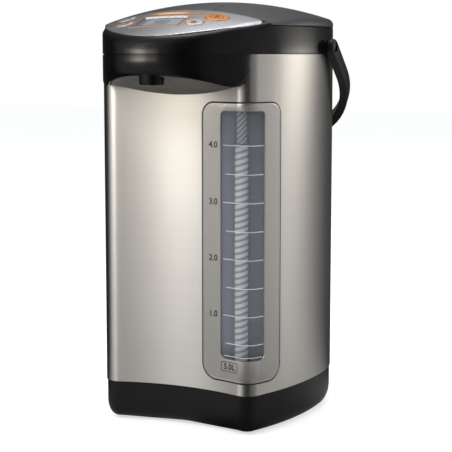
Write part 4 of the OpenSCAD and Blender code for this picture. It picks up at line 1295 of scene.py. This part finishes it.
# %% Display
lens_x, field_y = lens_c[0], lens_c[1] - 0.6
lcd_light = finish("display field", (0.42, 0.46, 0.50), (0.46, 0.50, 0.54), rough=(0.35, 0.45))
piece("display_cover", crown_block(*lens_c, 44.4, 24.4, 1.8, -1.2, 0.1, step=4, ease=0.3),
      "display_grey", look=display_glass, replaces=["display_lens"])
piece("display_face", crown_block(*lens_c, 45.4, 25.4, 1.8, -2.4, -1.3, step=4), "display_grey")
piece("display_field", crown_block(lens_x + 2, field_y, 34, 17, 0.8, -1.6, -1.22, step=4),
      "display_grey", look=lcd_light)

# %% Figures
digit_w, digit_h, digit_t = 5.2, 10.0, 1.1


def digit(shape, x, y):
    """A seven-part figure; shape lists its lit parts from a to g."""
    level, upright = (digit_w - digit_t, digit_t), (digit_t, digit_h / 2 - digit_t)
    w, h = digit_w / 2, digit_h / 2
    parts = {"a": (x, y + h, *level), "g": (x, y, *level), "d": (x, y - h, *level),
             "f": (x - w, y + h / 2, *upright), "b": (x + w, y + h / 2, *upright),
             "e": (x - w, y - h / 2, *upright), "c": (x + w, y - h / 2, *upright)}
    return [crown_block(*parts[k], 0, -1.3, -1.16, step=0) for k in shape]


figures = digit("abcdfg", lens_x - 3, field_y) + digit("abcdefg", lens_x + 5, field_y)
piece("display_figures", together(*figures), "display_grey", look=by_slot["parts_dark"])

# %% [markdown]
# ## Finishes of the remaining CAD nodes
# Everything that was not replaced keeps its CAD mesh and takes the finish of
# the material slot that the record names for it.

# %% Finishes by slot
slots = {p["node"]: p["material_slot"] for p in frame["record"]["subparts"]}
for name, obj in frame["nodes"].items():
    obj.data.materials.clear()
    obj.data.materials.append(by_slot[slots[name]])
print(len(slots), "CAD nodes have a finish")

# %% [markdown]
# ## Studio
# The pot stands on a pale table under soft lamps. The background is white to
# the camera, to reflections and through glass, by Light Path in the world. The
# steel and the black plastic need something to reflect: a tent stands over the
# table, seen only in reflections. Its brightness is painted by direction and
# height, so each band of light on the pot can be placed by two short lists.

# %% Helper: rays that see the white background
def seen_rays(tree):
    """One for camera, reflected and see-through rays, zero for the rest."""
    path, first, second = add_nodes(tree, "LightPath", "Math", "Math")
    first.operation = second.operation = "MAXIMUM"
    link(tree, path, "Is Camera Ray", first, 0)
    link(tree, path, "Is Glossy Ray", first, 1)
    link(tree, first, "Value", second, 0)
    link(tree, path, "Is Transmission Ray", second, 1)
    return second, "Value"


# %% World
world = bpy.data.worlds.new("studio")
bpy.context.scene.world = world
world.use_nodes = True
tree = world.node_tree
background = node_of(tree, "BACKGROUND")
fill, mix = add_nodes(tree, "Background", "MixShader")
set_sockets(background, Color=(1, 1, 1, 1))
set_sockets(fill, Color=(0.96, 0.98, 1, 1), Strength=0.72)
link(tree, *seen_rays(tree), mix, 0)
link(tree, fill, "Background", mix, 1)
link(tree, background, "Background", mix, 2)
link(tree, mix, "Shader", node_of(tree, "OUTPUT_WORLD"), "Surface")
print("the world is white to the camera")

# %% Table
bm = bmesh.new()
bmesh.ops.create_grid(bm, x_segments=1, y_segments=1, size=6)
table = to_object("table", bm)
mat, tree, shader = new_material("pale table")
noise, ramp, coord = add_nodes(tree, "TexNoise", "ValToRGB", "TexCoord")
set_sockets(noise, Scale=3)
link(tree, coord, "Object", noise, "Vector")
link(tree, noise, "Fac", ramp, "Fac")
for stop, grey in zip(ramp.color_ramp.elements, (0.50, 0.52)):
    stop.color = (grey, grey, grey, 1)
link(tree, ramp, "Color", shader, "Base Color")
set_sockets(shader, Roughness=0.9, Specular_IOR_Level=0.0)
# The table glows for the same rays, so that it fades into the background
table_glow = 0.62
glow, add, level = add_nodes(tree, "Emission", "AddShader", "Math")
level.operation = "MULTIPLY"
level.inputs[1].default_value = table_glow
link(tree, *seen_rays(tree), level, 0)
link(tree, level, "Value", glow, "Strength")
link(tree, shader, "BSDF", add, 0)
link(tree, glow, "Emission", add, 1)
link(tree, add, "Shader", node_of(tree, "OUTPUT_MATERIAL"), "Surface")
table.data.materials.append(mat)
print("the table is ready")

# %% Tent over the table
tent_r, tent_h, floor_gap = 0.42, 0.8, 0.0006
bm = bmesh.new()
bmesh.ops.create_uvsphere(bm, u_segments=96, v_segments=48, radius=1)
resize(bm, (tent_r, tent_r, tent_h))
for v in bm.verts:
    v.co.z = max(v.co.z, floor_gap)
tent = to_object("tent", bm)
tent.location.y = axis_y
print("the tent is", tent_r, "m in radius")

# %% Brightness of the tent by direction and height
# Degrees run from +X towards +Y; the second number is the brightness there
round_levels = [
    (-180, 0.02), (-156, 0.03), (-148, 0.15), (-134, 0.5), (-124, 0.44), (-104, 0.42),
    (-96, 0.48), (-88, 0.42), (-79, 0.14), (-70, 0.05), (-55, 0.05), (-44, 0.2), (-28, 0.26),
    (-8, 0.3), (8, 0.44), (20, 0.62), (32, 0.55), (42, 0.36), (50, 0.16), (58, 0.07), (84, 0.06),
    (98, 0.16), (114, 0.24), (128, 0.12), (142, 0.03), (172, 0.02)]
# A warmer, stronger light from two directions
hot_levels = [
    (-180, 0), (-134, 0), (-124, 0.2), (-117, 0.7), (-113, 1), (-108, 1), (-102, 0.4),
    (-93, 0.15), (-90, 0), (10, 0), (20, 0.4), (28, 0.55), (37, 0.25), (44, 0)]
# Heights are in metres over the table
height_levels = [(0.0, 0.72), (0.08, 0.95), (0.22, 1.0), (0.42, 0.95), (0.55, 0.6), (0.8, 0.4)]
hot_heights = [(0.0, 0), (0.25, 0.03), (0.30, 0.06), (0.333, 0.1), (0.339, 0.9), (0.352, 1.0),
               (0.362, 0.6), (0.39, 0.3), (0.45, 0.12), (0.55, 0)]
ceiling_heights = [(0.0, 0), (0.46, 0), (0.6, 0.04), (0.67, 0.13), (0.71, 0.3), (0.74, 0.8),
                   (0.76, 1.0), (0.8, 1.0)]
ceiling_strength, hot_strength = 2.4, 10.0


def level_ramp(tree, source, levels, low, high):
    """A colour ramp through (place, brightness) pairs, fed by a value from low to high."""
    spread, ramp = add_nodes(tree, "MapRange", "ValToRGB")
    set_sockets(spread, From_Min=low, From_Max=high)
    link(tree, *source, spread, "Value")
    link(tree, spread, "Result", ramp, "Fac")
    stops = ramp.color_ramp.elements
    stops[0].position, stops[1].position = 0, 1
    for i, (place, bright) in enumerate(levels):
        at = (place - low) / (high - low)
        stop = stops[0] if i == 0 else stops.new(at)
        stop.position, stop.color = at, (bright, bright, bright, 1)
    stops[len(stops) - 1].color = (levels[-1][1],) * 3 + (1,)
    return ramp, "Color"


def combine(tree, operation, a, b):
    """A Math node on two terms, each a number or a node's output."""
    node, = add_nodes(tree, "Math")
    node.operation = operation
    for i, term in enumerate((a, b)):
        if isinstance(term, tuple):
            link(tree, *term, node, i)
        else:
            node.inputs[i].default_value = term
    return node, "Value"


# %% The tent's light
mat, tree, shader = new_material("tent")
tree.nodes.remove(shader)
coord, split, turn = add_nodes(tree, "TexCoord", "SeparateXYZ", "Math")
turn.operation = "ARCTAN2"
link(tree, coord, "Object", split, "Vector")
link(tree, split, "Y", turn, 0)
link(tree, split, "X", turn, 1)
round_ramp, hot_ramp = (
    level_ramp(tree, (turn, "Value"), [(math.radians(a), v) for a, v in levels], -math.pi, math.pi)
    for levels in (round_levels, hot_levels))
height_ramp, hot_height, ceiling = (
    level_ramp(tree, (split, "Z"), levels, 0.0, tent_h)
    for levels in (height_levels, hot_heights, ceiling_heights))
soft = combine(tree, "MULTIPLY", round_ramp, height_ramp)
soft = combine(tree, "MULTIPLY", soft, combine(tree, "SUBTRACT", 1.0, ceiling))
soft = combine(tree, "ADD", soft, combine(tree, "MULTIPLY", ceiling, ceiling_strength))
hot = combine(tree, "MULTIPLY", combine(tree, "MULTIPLY", hot_ramp, hot_height), hot_strength)
soft_glow, hot_glow, both = add_nodes(tree, "Emission", "Emission", "AddShader")
set_sockets(hot_glow, Color=(1, 0.93, 0.82, 1))
for i, (strength, glow) in enumerate(((soft, soft_glow), (hot, hot_glow))):
    link(tree, *strength, glow, "Strength")
    link(tree, glow, "Emission", both, i)
link(tree, both, "Shader", node_of(tree, "OUTPUT_MATERIAL"), "Surface")
tent.data.materials.append(mat)
tent.visible_camera = tent.visible_diffuse = tent.visible_transmission = False
tent.visible_shadow = tent.visible_volume_scatter = False
print("the tent shows only in reflections")

# %% Lamps
def lamp(name, place, aim, size, power, colour=(1, 1, 1)):
    data = bpy.data.lights.new(name, "AREA")
    data.shape, data.size, data.size_y, data.energy, data.color = "RECTANGLE", *size, power, colour
    obj = bpy.data.objects.new(name, data)
    obj.location = place
    obj.rotation_euler = (Vector(aim) - Vector(place)).to_track_quat("-Z", "Y").to_euler()
    bpy.context.scene.collection.objects.link(obj)
    return obj


lamp("key_lamp", (-0.9, -1.1, 1.5), (0, 0, 0.25), (0.9, 0.9), 20)
top_lamp = lamp("top_lamp", (0.1, 0.3, 1.7), (0, 0, 0.3), (1.2, 1.0), 12)
top_lamp.visible_glossy = False
lamp("side_lamp", (1.4, 0.6, 0.9), (0, 0, 0.25), (0.6, 1.2), 8, (1, 0.97, 0.93))
print("three lamps are lit")

# %% Camera
scene = bpy.context.scene
picture_px, focal_px, sensor = 452, 1250, 36
look_down, look_round = 6.6, 24.41
camera_data = bpy.data.cameras.new("camera")
camera_data.sensor_width, camera_data.lens = sensor, focal_px / picture_px * sensor
camera_data.shift_y = -0.06
camera = bpy.data.objects.new("camera", camera_data)
camera.location = (0.5015, -1.0820, 0.340)
camera.rotation_euler = (math.radians(90 - look_down), 0, math.radians(look_round))
scene.collection.objects.link(camera)
scene.camera = camera
scene.view_settings.view_transform = "Standard"
print("camera looks along", [round(x, 3) for x in camera.rotation_euler])
